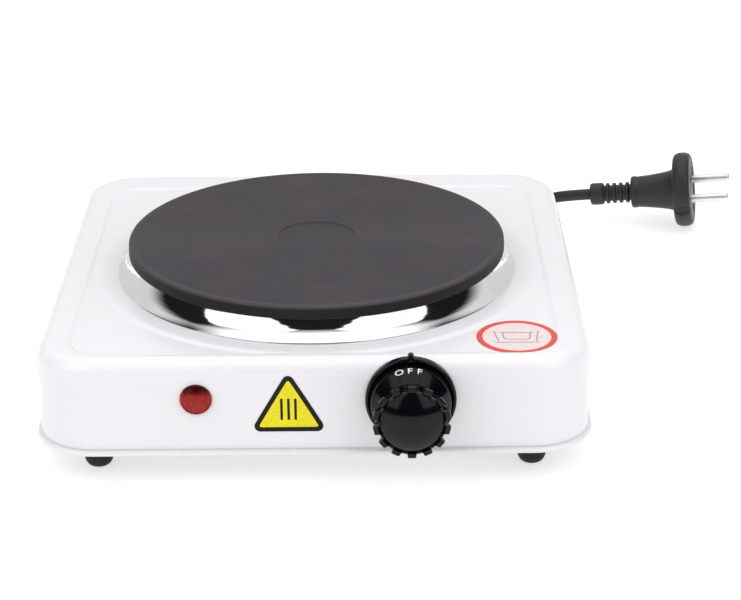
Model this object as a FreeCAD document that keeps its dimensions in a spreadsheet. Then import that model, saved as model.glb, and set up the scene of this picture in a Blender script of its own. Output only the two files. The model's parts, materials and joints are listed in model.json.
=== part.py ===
import FreeCAD, Part
import math
import os
import Sketcher
from types import SimpleNamespace

# Single electric hot plate, millimetres, +Z up. The origin is on the table, under the middle of
# the appliance; the front wall with the lamp and the knob faces -Y.

DIMENSIONS = {
    # housing
    "housing_half": 125.0, "housing_corner": 27.0, "housing_top": 60.1, "housing_bottom": 15.0,
    "edge_round": 7.5, "skin": 0.8, "lip_flare": 1.6, "lip_height": 1.8,
    "burner_ahead": 10.4, "field_depth": 0.7, "field_half_x": 111.0, "field_half_y": 110.0,
    "field_shift": 3.0, "field_corner": 18.0, "plateau_radius": 108.4,
    # cooking plate and what is under it
    "plate_radius": 90.8, "plate_top": 75.7, "plate_flange": 6.0, "plate_body_radius": 84.0,
    "plate_bottom": 64.2, "recess_radius": 19.0, "recess_depth": 0.7, "groove_pitch": 1.5,
    "groove_depth": 0.3, "ring_radius": 96.5, "ring_skin": 0.6, "hub_radius": 24.0,
    "channel_radius": 78.0, "channel_top": 70.0, "coil_inner": 40.0, "coil_outer": 62.0,
    "coil_wire": 2.2, "opening_radius": 88.0, "stud_radius": 3.0,
    # front wall fittings
    "knob_x": 43.3, "knob_z": 42.0, "lamp_x": -51.8, "lamp_z": 42.1, "bezel_radius": 20.2,
    "knob_reach": 30.0, "spindle_radius": 3.0, "label_x": -10.9, "label_z": 39.5,
    "label_width": 30.6, "label_height": 27.0, "label_skin": 0.25,
    "round_label_x": 91.6, "round_label_y": -88.2, "round_label_radius": 18.2,
    # underside
    "foot_radius": 6.8, "foot_inset_x": 26.0, "foot_inset_y": 22.0, "base_z": 17.0,
    # mains lead
    "cord_radius": 3.2, "cord_x": 30.0, "cord_z": 36.0, "relief_length": 26.0,
    "coil_x": 69.0, "coil_y": 232.0, "coil_mid": 35.8, "coil_half": 6.8, "coil_height": 12.4,
}

doc = FreeCAD.newDocument("hot_plate")
dims = doc.addObject("Spreadsheet::Sheet", "dims")
for row, (alias, number) in enumerate(DIMENSIONS.items(), start=1):
    dims.set(f"A{row}", alias)
    dims.set(f"B{row}", repr(number))
    dims.setAlias(f"B{row}", alias)
doc.recompute()


class Size:
    """A length together with the spreadsheet expression that gives it."""

    def __init__(self, value, text):
        self.value = float(value)
        self.text = text

    @staticmethod
    def of(thing):
        return thing if isinstance(thing, Size) else Size(thing, repr(float(thing)))

    def __add__(self, other):
        other = Size.of(other)
        return Size(self.value + other.value, f"({self.text} + {other.text})")

    def __sub__(self, other):
        other = Size.of(other)
        return Size(self.value - other.value, f"({self.text} - {other.text})")

    def __mul__(self, other):
        other = Size.of(other)
        return Size(self.value * other.value, f"({self.text} * {other.text})")

    def __truediv__(self, other):
        other = Size.of(other)
        return Size(self.value / other.value, f"({self.text} / {other.text})")

    def __radd__(self, other):
        return Size.of(other) + self

    def __rsub__(self, other):
        return Size.of(other) - self

    def __rmul__(self, other):
        return Size.of(other) * self

    def __neg__(self):
        return Size(-self.value, f"(-{self.text})")


d = SimpleNamespace(**{alias: Size(number, f"dims.{alias}") for alias, number in DIMENSIONS.items()})

# The knob's reach in front and the lip's flare behind set where the middle of the appliance is.
housing_y = (d.knob_reach - d.lip_flare) / 2
burner_y = housing_y - d.burner_ahead
wall_y = housing_y - d.housing_half
rear_y = housing_y + d.housing_half

sub_parts = []
AXES = {
    "+Z": FreeCAD.Rotation(),
    "-Z": FreeCAD.Rotation(FreeCAD.Vector(1, 0, 0), 180),
    "-Y": FreeCAD.Rotation(FreeCAD.Vector(1, 0, 0), 90),
    "+Y": FreeCAD.Rotation(FreeCAD.Vector(1, 0, 0), -90),
}


def bind(thing, prop, size):
    """Set a property from a size, by expression."""
    thing.setExpression(prop, Size.of(size).text)


def place(thing, at=(0, 0, 0), turn="+Z"):
    """Put an object's own origin at a point, with its own Z along the named axis."""
    rotation = AXES[turn] if isinstance(turn, str) else turn
    spot = [Size.of(value) for value in at]
    thing.Placement = FreeCAD.Placement(FreeCAD.Vector(*[s.value for s in spot]), rotation)
    for letter, size in zip("xyz", spot):
        bind(thing, f".Placement.Base.{letter}", size)
    return thing


def keep(thing, label):
    """Name an object as a sub-part of the appliance."""
    thing.Label = label
    sub_parts.append(thing)
    return thing


def cylinder(radius, height, at=(0, 0, 0), turn="+Z"):
    rod = doc.addObject("Part::Cylinder", "cylinder")
    bind(rod, "Radius", radius)
    bind(rod, "Height", height)
    return place(rod, at, turn)


def box(low, high):
    """A box between two corners."""
    block = doc.addObject("Part::Box", "box")
    for prop, a, b in zip(("Length", "Width", "Height"), low, high):
        bind(block, prop, Size.of(b) - a)
    return place(block, low)


def hexagon(across, height, at=(0, 0, 0), turn="+Z"):
    prism = doc.addObject("Part::Prism", "prism")
    prism.Polygon = 6
    bind(prism, "Circumradius", Size.of(across) / math.sqrt(3))
    bind(prism, "Height", height)
    return place(prism, at, turn)


def fuse(pieces):
    joined = doc.addObject("Part::MultiFuse", "fuse")
    joined.Shapes = pieces
    return joined


def group(pieces):
    """Separate solids kept in one sub-part."""
    several = doc.addObject("Part::Compound", "group")
    several.Links = pieces
    return several


def cut(base, tools):
    result = doc.addObject("Part::Cut", "cut")
    result.Base = base
    result.Tool = tools[0] if len(tools) == 1 else fuse(tools)
    return result


def origin_plane(body, role):
    return next(feature for feature in body.Origin.OriginFeatures if feature.Role == role)


def arc_through(start, end, radius):
    """Circle arc from start to end: a positive radius bends it to the left of the way there."""
    chord = end - start
    half = chord.Length / 2
    rise = math.sqrt(max(radius * radius - half * half, 0.0))
    left = FreeCAD.Vector(-chord.y, chord.x, 0).normalize()
    side = 1 if radius > 0 else -1
    centre = (start + end) / 2 + left * (rise * side)
    angles = [math.atan2(point.y - centre.y, point.x - centre.x) for point in (start, end)]
    if side < 0:
        angles.reverse()
    if angles[1] <= angles[0]:
        angles[1] += 2 * math.pi
    circle = Part.Circle(centre, FreeCAD.Vector(0, 0, 1), abs(radius))
    return Part.ArcOfCircle(circle, *angles), side > 0


def pin_point(sketch, geometry, end, x, y):
    """Hold one end of a sketch curve at (x, y) measured from the sketch's origin."""
    for kind, size, axis in (("DistanceX", Size.of(x), -2), ("DistanceY", Size.of(y), -1)):
        if abs(size.value) < 1e-6:
            sketch.addConstraint(Sketcher.Constraint("PointOnObject", geometry, end, axis))
        elif size.value > 0:
            rule = Sketcher.Constraint(kind, -1, 1, geometry, end, size.value)
            sketch.setExpression(f"Constraints[{sketch.addConstraint(rule)}]", size.text)
        else:
            rule = Sketcher.Constraint(kind, geometry, end, -1, 1, -size.value)
            sketch.setExpression(f"Constraints[{sketch.addConstraint(rule)}]", (-size).text)


def draw_outline(sketch, outline):
    """Closed outline of (x, y) corners; a third value is the radius of the arc to the next one."""
    corners = [FreeCAD.Vector(Size.of(c[0]).value, Size.of(c[1]).value, 0) for c in outline]
    sides = []
    for index, corner in enumerate(outline):
        start, end = corners[index], corners[(index + 1) % len(corners)]
        if len(corner) == 2:
            sides.append((sketch.addGeometry(Part.LineSegment(start, end)), 1, 2, None))
        else:
            arc, forward = arc_through(start, end, Size.of(corner[2]).value)
            ends = (1, 2) if forward else (2, 1)
            sides.append((sketch.addGeometry(arc), *ends, corner[2]))
    for index, (geometry, first, last, radius) in enumerate(sides):
        following = sides[(index + 1) % len(sides)]
        meet = Sketcher.Constraint("Coincident", geometry, last, following[0], following[1])
        sketch.addConstraint(meet)
        pin_point(sketch, geometry, first, outline[index][0], outline[index][1])
        if radius is not None:
            size = Size.of(radius) if Size.of(radius).value > 0 else -Size.of(radius)
            rule = Sketcher.Constraint("Radius", geometry, size.value)
            sketch.setExpression(f"Constraints[{sketch.addConstraint(rule)}]", size.text)


def draw_circle(sketch, x, y, radius):
    centre = FreeCAD.Vector(Size.of(x).value, Size.of(y).value, 0)
    circle = Part.Circle(centre, FreeCAD.Vector(0, 0, 1), Size.of(radius).value)
    geometry = sketch.addGeometry(circle)
    rule = Sketcher.Constraint("Radius", geometry, Size.of(radius).value)
    sketch.setExpression(f"Constraints[{sketch.addConstraint(rule)}]", Size.of(radius).text)
    pin_point(sketch, geometry, 3, x, y)


def new_sketch(body, role, outlines=(), circles=()):
    sketch = body.newObject("Sketcher::SketchObject", "sketch")
    sketch.AttachmentSupport = [(origin_plane(body, role), "")]
    sketch.MapMode = "FlatFace"
    for outline in outlines:
        draw_outline(sketch, outline)
    for circle in circles:
        draw_circle(sketch, *circle)
    return sketch


def turned(outline, at=(0, 0, 0), turn="+Z", circles=()):
    """Body turned about its own Z from an outline of (radius, height) corners."""
    body = doc.addObject("PartDesign::Body", "turned")
    sketch = new_sketch(body, "XZ_Plane", [outline] if outline else [], circles)
    revolution = body.newObject("PartDesign::Revolution", "revolution")
    revolution.Profile = sketch
    revolution.ReferenceAxis = (sketch, ["V_Axis"])
    revolution.Angle = 360
    return place(body, at, turn)


def flat(outlines, thickness, at=(0, 0, 0), turn="+Z", circles=()):
    """Body padded up its own Z from outlines in its own XY plane."""
    body = doc.addObject("PartDesign::Body", "flat")
    pad = body.newObject("PartDesign::Pad", "pad")
    pad.Profile = new_sketch(body, "XY_Plane", outlines, circles)
    bind(pad, "Length", thickness)
    return place(body, at, turn)


def rounded(half_x, half_y, corner):
    """Rectangle about the origin with round corners, anticlockwise."""
    flat_x = half_x - corner
    flat_y = half_y - corner
    return [(flat_x, -half_y, corner), (half_x, -flat_y), (half_x, flat_y, corner),
            (flat_x, half_y), (-flat_x, half_y, corner), (-half_x, flat_y),
            (-half_x, -flat_y, corner), (-flat_x, -half_y)]


# ---------------------------------------------------------------- pressed steel housing
def pressed_form(offset):
    """Solid form of the pressed housing, set in from its outer face by an offset.

    Its top is sunk a little inside a rounded square, all but a round plateau about the burner.
    """
    half = d.housing_half - offset
    body = doc.addObject("PartDesign::Body", "form")
    pad = body.newObject("PartDesign::Pad", "pad")
    pad.Profile = new_sketch(body, "XY_Plane", [rounded(half, half, d.housing_corner - offset)])
    bind(pad, "Length", d.housing_top - d.housing_bottom - offset)
    doc.recompute()
    top = pad.Shape.BoundBox.ZMax
    names = [f"Edge{n}" for n, edge in enumerate(pad.Shape.Edges, start=1)
             if min(vertex.Z for vertex in edge.Vertexes) > top - 0.01]
    edge_round = body.newObject("PartDesign::Fillet", "edge_round")
    edge_round.Base = (pad, names)
    bind(edge_round, "Radius", d.edge_round - offset)
    body.Tip = edge_round
    place(body, (0, housing_y, d.housing_bottom))
    field_z = d.housing_top - offset - d.field_depth
    field = flat([rounded(d.field_half_x + offset, d.field_half_y + offset, d.field_corner + offset)],
                 d.field_depth + 2, (0, burner_y + d.field_shift, field_z))
    plateau = cylinder(d.plateau_radius - offset, d.field_depth + 4, (0, burner_y, field_z - 1))
    return cut(body, [cut(field, [plateau])])


outer_form = pressed_form(Size.of(0))
inner_form = pressed_form(d.skin)
lip = flat([rounded(d.housing_half + d.lip_flare, d.housing_half + d.lip_flare,
                    d.housing_corner + d.lip_flare)], d.lip_height, (0, housing_y, d.housing_bottom))
vent_slots = [box((-60 + 20 * n, rear_y - 6, 44), (-48 + 20 * n, rear_y + 6, 47)) for n in range(3)]
shell = cut(fuse([outer_form, lip]), [
    inner_form,
    cylinder(d.opening_radius, 20, (0, burner_y, d.housing_top - 10)),
    cylinder(5.5, 8, (d.knob_x, wall_y - 3, d.knob_z), "+Y"),
    cylinder(6.3, 8, (d.lamp_x, wall_y - 3, d.lamp_z), "+Y"),
    cylinder(5.6, 12, (d.cord_x, rear_y - 6, d.cord_z), "+Y"),
    cylinder(1.7, 8, (d.knob_x - 14, wall_y - 3, d.knob_z), "+Y"),
    cylinder(1.7, 8, (d.knob_x + 14, wall_y - 3, d.knob_z), "+Y"),
] + vent_slots)
keep(shell, "housing_shell")

# ---------------------------------------------------------------- base plate, feet and screws
foot_x = d.housing_half - d.foot_inset_x
foot_front = wall_y + d.foot_inset_y
foot_back = rear_y - d.foot_inset_y
FEET = {"foot_front_left": (-foot_x, foot_front), "foot_front_right": (foot_x, foot_front),
        "foot_rear_left": (-foot_x, foot_back), "foot_rear_right": (foot_x, foot_back)}
base_half = d.housing_half - d.skin - 0.3
base_screw_spots = [(x, housing_y + y) for x in (-90, 90) for y in (-45, 45)]
base_thick = Size.of(0.8)

base_slots = [box((-54 + 18 * n, burner_y - 30, d.base_z - 3), (-49 + 18 * n, burner_y + 30, d.base_z + 3))
              for n in range(7)]
base = cut(flat([rounded(base_half, base_half, d.housing_corner - d.skin - 0.3)], base_thick,
                (0, housing_y, d.base_z)),
           base_slots
           + [cylinder(1.6, 8, (x, y, d.base_z - 3)) for x, y in FEET.values()]
           + [cylinder(1.6, 8, (x, y, d.base_z - 3)) for x, y in base_screw_spots])
keep(base, "base_plate")

for name, (x, y) in FEET.items():
    foot_outline = [(1.7, d.base_z), (1.7, 8.0), (3.2, 8.0), (3.2, 0), (4.4, 0, 4.8),
                    (d.foot_radius, 4.4), (d.foot_radius, d.base_z - 1.2), (d.foot_radius - 0.8, d.base_z)]
    keep(turned(foot_outline, (x, y, 0)), name)


def screw(x, y, z, shank, head, length, turn):
    """Pan-head screw whose head bears at the given point; its shank runs along the turn axis."""
    outline = [(0, -1.6), (head * 0.55, -1.6, head * 0.75), (head, -0.4), (head, 0), (shank, 0),
               (shank, length), (0, length)]
    return turned(outline, (x, y, z), turn)


keep(group([screw(x, y, 8.0, 1.55, 3.0, 14.0, "+Z") for x, y in FEET.values()]), "foot_screws")
nut_z = d.base_z + base_thick
keep(group([cut(hexagon(5.5, 2.4, (x, y, nut_z)), [cylinder(1.57, 6, (x, y, d.base_z - 1))])
            for x, y in FEET.values()]), "foot_nuts")
keep(group([screw(x, y, d.base_z, 1.55, 3.0, 7.0, "+Z") for x, y in base_screw_spots]), "base_screws")
block_half = 6.0
keep(group([cut(box((x - block_half, y - block_half, d.base_z + base_thick),
                    (x + block_half, y + block_half, d.base_z + 8)),
                [cylinder(1.57, 20, (x, y, d.base_z - 3))])
            for x, y in base_screw_spots]), "base_screw_blocks")

# ---------------------------------------------------------------- burner
flange_bottom = d.plate_top - d.plate_flange
rim = d.plate_radius


def plate_outline():
    """Half section of the cast plate: ringed face, bevelled rim, flange and underside channel."""
    face = [(0, d.plate_bottom), (0, d.plate_top - d.recess_depth),
            (d.recess_radius - 0.5, d.plate_top - d.recess_depth), (d.recess_radius, d.plate_top)]
    outline = face + [(rim - 0.9, d.plate_top), (rim, d.plate_top - 0.9), (rim, flange_bottom + 0.6),
                      (rim - 0.6, flange_bottom), (d.plate_body_radius, flange_bottom),
                      (d.plate_body_radius, d.plate_bottom), (d.channel_radius, d.plate_bottom),
                      (d.channel_radius, d.channel_top), (d.hub_radius, d.channel_top),
                      (d.hub_radius, d.plate_bottom)]
    return outline


def face_grooves():
    """Fine V grooves, concentric with the plate, cut as rings from its face."""
    first = d.recess_radius + 1.4
    count = int((rim.value - 2.2 - first.value) / d.groove_pitch.value)
    rings = doc.addObject("Part::Feature", "face_grooves")
    solids = []
    for step in range(count):
        middle = first.value + step * d.groove_pitch.value
        top = d.plate_top.value
        width = d.groove_pitch.value * 0.32
        corners = [FreeCAD.Vector(middle - width, 0, top), FreeCAD.Vector(middle + width, 0, top),
                   FreeCAD.Vector(middle, 0, top - d.groove_depth.value)]
        wire = Part.makePolygon(corners + corners[:1])
        solids.append(Part.Face(wire).revolve(FreeCAD.Vector(), FreeCAD.Vector(0, 0, 1), 360))
    rings.Shape = Part.makeCompound(solids)
    return place(rings, (0, burner_y, 0))


stud_foot = Size.of(45.0)
stud_tip = Size.of(72.0)
plate_blank = turned(plate_outline(), (0, burner_y, 0))
keep(cut(plate_blank, [face_grooves(),
                       cylinder(d.stud_radius, stud_tip - 60, (0, burner_y, 60))]), "cooking_plate")
keep(cylinder(d.stud_radius, stud_tip - stud_foot, (0, burner_y, stud_foot)), "plate_stud")

wire_z = (d.plate_bottom + d.channel_top) / 2
fill_outline = [(d.hub_radius, d.plate_bottom), (d.channel_radius, d.plate_bottom),
                (d.channel_radius, d.channel_top), (d.hub_radius, d.channel_top)]
coil_rings = [d.coil_inner, d.coil_outer]
keep(group([turned([], (0, burner_y, 0), circles=[(ring, wire_z, d.coil_wire)]) for ring in coil_rings]),
     "heating_coils")
coil_channels = [(ring, wire_z, d.coil_wire + 0.1) for ring in coil_rings]

TERMINALS = [(d.coil_inner.value, -115), (d.coil_outer.value, -75)]
terminal_spots = [(radius * math.cos(math.radians(angle)), burner_y + radius * math.sin(math.radians(angle)))
                  for radius, angle in TERMINALS]
pan_z = Size.of(60.6)
bead_drop = Size.of(5.0)
pin_top = wire_z - d.coil_wire


def at_terminals(radius, low, high):
    return [cylinder(radius, Size.of(high) - low, (x, y, low)) for x, y in terminal_spots]


keep(cut(turned(fill_outline, (0, burner_y, 0), circles=coil_channels),
         at_terminals(1.25, d.plate_bottom - 1, wire_z)), "ceramic_fill")
keep(group(at_terminals(1.2, pan_z - bead_drop - 6, pin_top)), "element_pins")
keep(cut(turned([(d.stud_radius + 0.4, d.plate_bottom - 2.4), (80.0, d.plate_bottom - 2.4),
                 (80.0, d.plate_bottom), (d.stud_radius + 0.4, d.plate_bottom)], (0, burner_y, 0)),
         at_terminals(3.0, 50, 70)), "insulation_disc")
keep(cut(turned([(d.stud_radius + 0.4, pan_z + 0.6), (d.stud_radius + 0.4, pan_z), (82.4, pan_z),
                 (82.4, d.plate_bottom), (81.8, d.plate_bottom), (81.8, pan_z + 0.6)], (0, burner_y, 0)),
         at_terminals(3.0, 50, 63)), "heat_shield_pan")
keep(group([cut(cylinder(2.9, d.plate_bottom - pan_z + bead_drop, (x, y, pan_z - bead_drop)),
                [cylinder(1.25, 30, (x, y, 45))]) for x, y in terminal_spots]), "ceramic_beads")

ring_foot = d.housing_top
ring_top = flange_bottom
t = d.ring_skin
ring_outline = [(d.ring_radius, ring_foot + 0.5), (d.ring_radius - 0.5, ring_foot + 1.2, 0.9),
                (d.ring_radius - 2.2, ring_foot + 1.1), (rim + 2.0, ring_foot + 1.6, -12.0),
                (rim - 3.2, ring_top), (d.plate_body_radius + 0.6, ring_top),
                (d.plate_body_radius + 0.6, ring_top - t), (rim - 3.6, ring_top - t, 12.0),
                (rim + 1.6, ring_foot + 0.9), (rim + 2.0, ring_foot), (d.ring_radius, ring_foot)]
keep(turned(ring_outline, (0, burner_y, 0)), "trim_ring")

bridge_z = Size.of(52.0)
bridge_thick = Size.of(1.6)
strip_end = Size.of(101.0)
under_top = d.housing_top - d.skin
riser = Size.of(92.0)
riser_in = riser - bridge_thick
front_edge = burner_y - 11
back_edge = burner_y + 11
bridge = cut(fuse([box((-92, front_edge, bridge_z), (riser, back_edge, bridge_z + bridge_thick)),
                   box((-92, front_edge, bridge_z), (-90.4, back_edge, under_top)),
                   box((riser_in, front_edge, bridge_z), (riser, back_edge, under_top)),
                   box((-101, front_edge, under_top - bridge_thick), (-90.4, back_edge, under_top)),
                   box((riser_in, front_edge, under_top - bridge_thick), (strip_end, back_edge, under_top))]),
             [cylinder(d.stud_radius + 0.3, 10, (0, burner_y, bridge_z - 4))])
keep(bridge, "clamp_bridge")
spacer_bottom = bridge_z + bridge_thick
keep(cut(cylinder(7.0, pan_z - spacer_bottom, (0, burner_y, spacer_bottom)),
         [cylinder(d.stud_radius + 0.2, 20, (0, burner_y, 45))]), "stud_spacer")
keep(cut(cylinder(7.0, 1.2, (0, burner_y, bridge_z - 1.2)),
         [cylinder(d.stud_radius + 0.2, 5, (0, burner_y, bridge_z - 3))]), "stud_washer")
keep(cut(hexagon(10.0, 4.8, (0, burner_y, bridge_z - 6.0)),
         [cylinder(d.stud_radius, 8, (0, burner_y, bridge_z - 8))]), "stud_nut")

# ---------------------------------------------------------------- knob and dial
AHEAD = "-Y"
knob_spot = (d.knob_x, wall_y, d.knob_z)
bezel_outline = [(5.6, 0), (d.bezel_radius - 0.6, 0), (d.bezel_radius, 0.6), (d.bezel_radius, 2.6),
                 (d.bezel_radius - 0.5, 3.2), (d.bezel_radius - 1.5, 3.2), (d.bezel_radius - 2.0, 2.6),
                 (d.bezel_radius - 2.0, 1.2), (5.6, 1.2)]
pointer_nub = box((d.knob_x - 1.3, wall_y - 3.2, d.knob_z + d.bezel_radius - 1.4),
                  (d.knob_x + 1.3, wall_y, d.knob_z + d.bezel_radius + 1.8))
bezel_pegs = [cylinder(1.6, 1.9, (d.knob_x + side * 14, wall_y, d.knob_z), "+Y") for side in (-1, 1)]
keep(fuse([turned(bezel_outline, knob_spot, AHEAD), pointer_nub] + bezel_pegs), "dial_bezel")

bore = d.spindle_radius + 0.05
shoulder = Size.of(13.4)
dial_outline = [(bore, 1.6), (17.2, 1.6), (17.5, 2.2), (17.8, 7.2), (17.4, 8.0), (13.0, shoulder),
                (bore, shoulder)]
keep(turned(dial_outline, knob_spot, AHEAD), "knob_dial")

FLUTES = 14
grip_front = Size.of(25.9)
cap_pocket = Size.of(22.0)
grip_outline = [(bore, shoulder), (13.0, shoulder), (14.2, 17.2), (16.5, 21.6), (17.1, 23.2),
                (17.1, grip_front - 0.5), (16.6, grip_front), (14.8, grip_front), (13.9, cap_pocket),
                (bore, cap_pocket)]


def grip_flutes():
    """Round-bottomed grooves down the grip, leaning with its flare."""
    grooves = doc.addObject("Part::Feature", "grip_flutes")
    one = Part.makeCylinder(1.5, 30, FreeCAD.Vector(13.7, 0, 9.0), FreeCAD.Vector(2.4, 0, 13.5))
    turns = []
    for number in range(FLUTES):
        copy = one.copy()
        copy.rotate(FreeCAD.Vector(), FreeCAD.Vector(0, 0, 1), 360 / FLUTES * number)
        turns.append(copy)
    grooves.Shape = Part.makeCompound(turns)
    return place(grooves, knob_spot, AHEAD)


keep(cut(turned(grip_outline, knob_spot, AHEAD), [grip_flutes()]), "knob_grip")
cap_edge = Size.of(14.4)
cap_rise = Size.of(5.0)
dome = (cap_edge * cap_edge + cap_rise * cap_rise) / (2 * cap_rise)
cap_outline = [(0, cap_pocket), (13.7, cap_pocket), (cap_edge, d.knob_reach - cap_rise - 0.4),
               (cap_edge, d.knob_reach - cap_rise, dome), (0, d.knob_reach)]
keep(turned(cap_outline, knob_spot, AHEAD), "knob_cap")

# ---------------------------------------------------------------- thermostat
bracket_y = wall_y + d.skin
deck_y = bracket_y + 1.2
spindle_tip = Size.of(9.7)
spindle_ahead = 20.0
keep(cut(box((d.knob_x - 24, bracket_y, d.knob_z - 11), (d.knob_x + 24, deck_y, d.knob_z + 10)),
         [cylinder(5.4, 8, (d.knob_x, wall_y - 2, d.knob_z), "+Y")]
         + [cylinder(1.7, 8, (d.knob_x + side * 14, wall_y - 2, d.knob_z), "+Y") for side in (-1, 1)]),
     "thermostat_bracket")
keep(turned([(bore, -1.0), (5.3, -1.0), (5.3, 3.2), (7.0, 3.2), (7.0, 6.0), (bore, 6.0)],
            knob_spot, "+Y"), "spindle_bush")
keep(cylinder(d.spindle_radius, spindle_tip + spindle_ahead,
              (d.knob_x, wall_y - spindle_ahead, d.knob_z), "+Y"), "thermostat_spindle")
stack_x = d.knob_x + 19.0
spacer_levels = [(deck_y, deck_y + 8), (deck_y + 8.4, deck_y + 13), (deck_y + 13.4, deck_y + 18)]
keep(group([cut(cylinder(4.5, end - start, (stack_x, start, d.knob_z), "+Y"),
                [cylinder(1.5, 40, (stack_x, wall_y, d.knob_z), "+Y")])
            for start, end in spacer_levels]), "stack_spacers")
keep(turned([(0, 0), (1.45, 0), (1.45, 18.6), (3.4, 18.6), (2.4, 20.2), (0, 20.2)],
            (stack_x, deck_y, d.knob_z), "+Y"), "stack_rivet")
leaf_half = Size.of(3.5)


def strip(start_x, end_x, y, thick):
    return box((start_x, y, d.knob_z - leaf_half), (end_x, Size.of(y) + thick, d.knob_z + leaf_half))


stack_hole = [cylinder(1.5, 60, (stack_x, wall_y, d.knob_z), "+Y")]
leaf_tip_x = d.knob_x - 16
leaf_root_x = stack_x - 5.0
leaf_tab_x = stack_x + 6.0
moving_y = deck_y + 8
fixed_y = deck_y + 13
keep(strip(leaf_tip_x, leaf_root_x, moving_y, 0.4), "moving_leaf")
keep(group([cut(strip(leaf_root_x + 0.1, leaf_tab_x, moving_y, 0.4), stack_hole),
            cut(strip(leaf_tip_x, leaf_tab_x, fixed_y, 0.4), stack_hole)]), "fixed_leaves")
keep(cut(strip(leaf_tip_x - 2, leaf_tab_x, deck_y + 18, 0.6), stack_hole), "bimetal_strip")
contact_x = d.knob_x - 13
keep(cylinder(2.0, 1.6, (contact_x, moving_y + 0.4, d.knob_z), "+Y"), "moving_contact")
keep(cylinder(2.0, 1.6, (contact_x, fixed_y - 1.6, d.knob_z), "+Y"), "fixed_contact")

# ---------------------------------------------------------------- indicator lamp
lamp_spot = (d.lamp_x, wall_y, d.lamp_z)
lens_outline = [(0, -2.4), (4.6, -2.2), (6.6, -1.2), (7.2, 0), (6.2, 0), (6.2, 12), (5.2, 12), (5.2, -0.6),
                (0, -0.9)]
keep(turned(lens_outline, lamp_spot, "+Y"), "lamp_lens")
keep(turned([(0, 2), (2.6, 2), (2.6, 13.2), (0, 13.2)], lamp_spot, "+Y"), "neon_bulb")
keep(turned([(0, 13.2), (5.1, 13.2), (5.1, 12.0), (6.2, 12.0), (6.2, 24), (4.6, 25.4), (0, 25.4)],
            lamp_spot, "+Y"), "lamp_holder")
keep(turned([(6.25, d.skin), (9.0, d.skin), (9.0, d.skin + 0.7), (6.25, d.skin + 0.7)],
            lamp_spot, "+Y"), "lamp_clip_ring")

# ---------------------------------------------------------------- terminal block and lead clamp
block_x = d.cord_x - 34
block_y = rear_y - 40
block_low = d.base_z + base_thick
keep(cut(box((block_x - 17, block_y - 9, block_low), (block_x + 17, block_y + 9, block_low + 15)),
         [cylinder(2.6, 30, (block_x + side * 8, block_y - 15, block_low + 6), "+Y") for side in (-1, 1)]
         + [cylinder(1.8, 12, (block_x + side * 8, block_y, block_low + 6)) for side in (-1, 1)]),
     "terminal_block")
keep(group([cylinder(1.75, 8.6, (block_x + side * 8, block_y, block_low + 8.6)) for side in (-1, 1)]),
     "terminal_screws")

lead_end = 1.0
relief_outline = [(d.cord_radius, -8.0), (6.6, -8.0), (6.6, -d.skin), (5.5, -d.skin), (5.5, 0), (7.4, 0),
                  (7.4, 1.6), (6.0, 3.0), (4.3, d.relief_length), (0, d.relief_length), (0, lead_end),
                  (d.cord_radius, lead_end)]
keep(turned(relief_outline, (d.cord_x, rear_y, d.cord_z), "+Y"), "strain_relief")
keep(cylinder(d.cord_radius, 30.0 + lead_end, (d.cord_x, rear_y - 30, d.cord_z), "+Y"), "lead_inner_end")
clamp_y = rear_y - 20
strap_z = d.cord_z + d.cord_radius
post_z = d.cord_z - d.cord_radius
clamp_holes = [cylinder(1.5, 20, (d.cord_x + side * 9, clamp_y, post_z - 4)) for side in (-1, 1)]
keep(cut(box((d.cord_x - 14, clamp_y - 5, strap_z), (d.cord_x + 14, clamp_y + 5, strap_z + 1.5)),
         clamp_holes), "lead_clamp_strap")
keep(cut(box((d.cord_x - 14, clamp_y - 5, block_low), (d.cord_x + 14, clamp_y + 5, post_z)),
         clamp_holes), "lead_clamp_post")
keep(group([turned([(0, -1.4), (2.4, -1.4), (2.4, 0), (1.45, 0), (1.45, 10), (0, 10)],
                   (d.cord_x + side * 9, clamp_y, strap_z + 1.5), "-Z")
            for side in (-1, 1)]), "lead_clamp_screws")


# ---------------------------------------------------------------- wires and the mains lead
def tube(points, radius, name):
    """Round tube along straight runs joined by tangent arcs as large as the runs allow."""
    points = [FreeCAD.Vector(*point) for point in points]
    edges = []
    radii = []
    start = points[0]
    for before, corner, after in zip(points, points[1:], points[2:]):
        arrive = (corner - before).normalize()
        leave = (after - corner).normalize()
        turn = arrive.getAngle(leave)
        reach = 0.45 * min((corner - before).Length, (after - corner).Length)
        bend = reach / math.tan(turn / 2)
        inward = (leave - arrive).normalize()
        middle = corner + inward * (bend / math.cos(turn / 2) - bend)
        first = corner - arrive * reach
        last = corner + leave * reach
        edges.append(Part.LineSegment(start, first).toShape())
        edges.append(Part.Arc(first, middle, last).toShape())
        radii.append(bend)
        start = last
    edges.append(Part.LineSegment(start, points[-1]).toShape())
    path = Part.Wire(edges)
    circle = Part.Circle(points[0], points[1] - points[0], radius)
    shape = path.makePipeShell([Part.Wire(circle.toShape())], True, False)
    solid = shape if shape.ShapeType == "Solid" else shape.Solids[0]
    expected = math.pi * radius ** 2 * path.Length
    print(f"{name}: length {path.Length:.1f}, smallest radius {min(radii):.1f}, "
          f"volume {solid.Volume / expected:.4f} of section times length")
    feature = doc.addObject("Part::Feature", "tube")
    feature.Shape = solid
    return feature


def numbers(*sizes):
    return tuple(Size.of(size).value for size in sizes)


def wire(points, name):
    return tube([numbers(*point) for point in points], 0.9, name)


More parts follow.
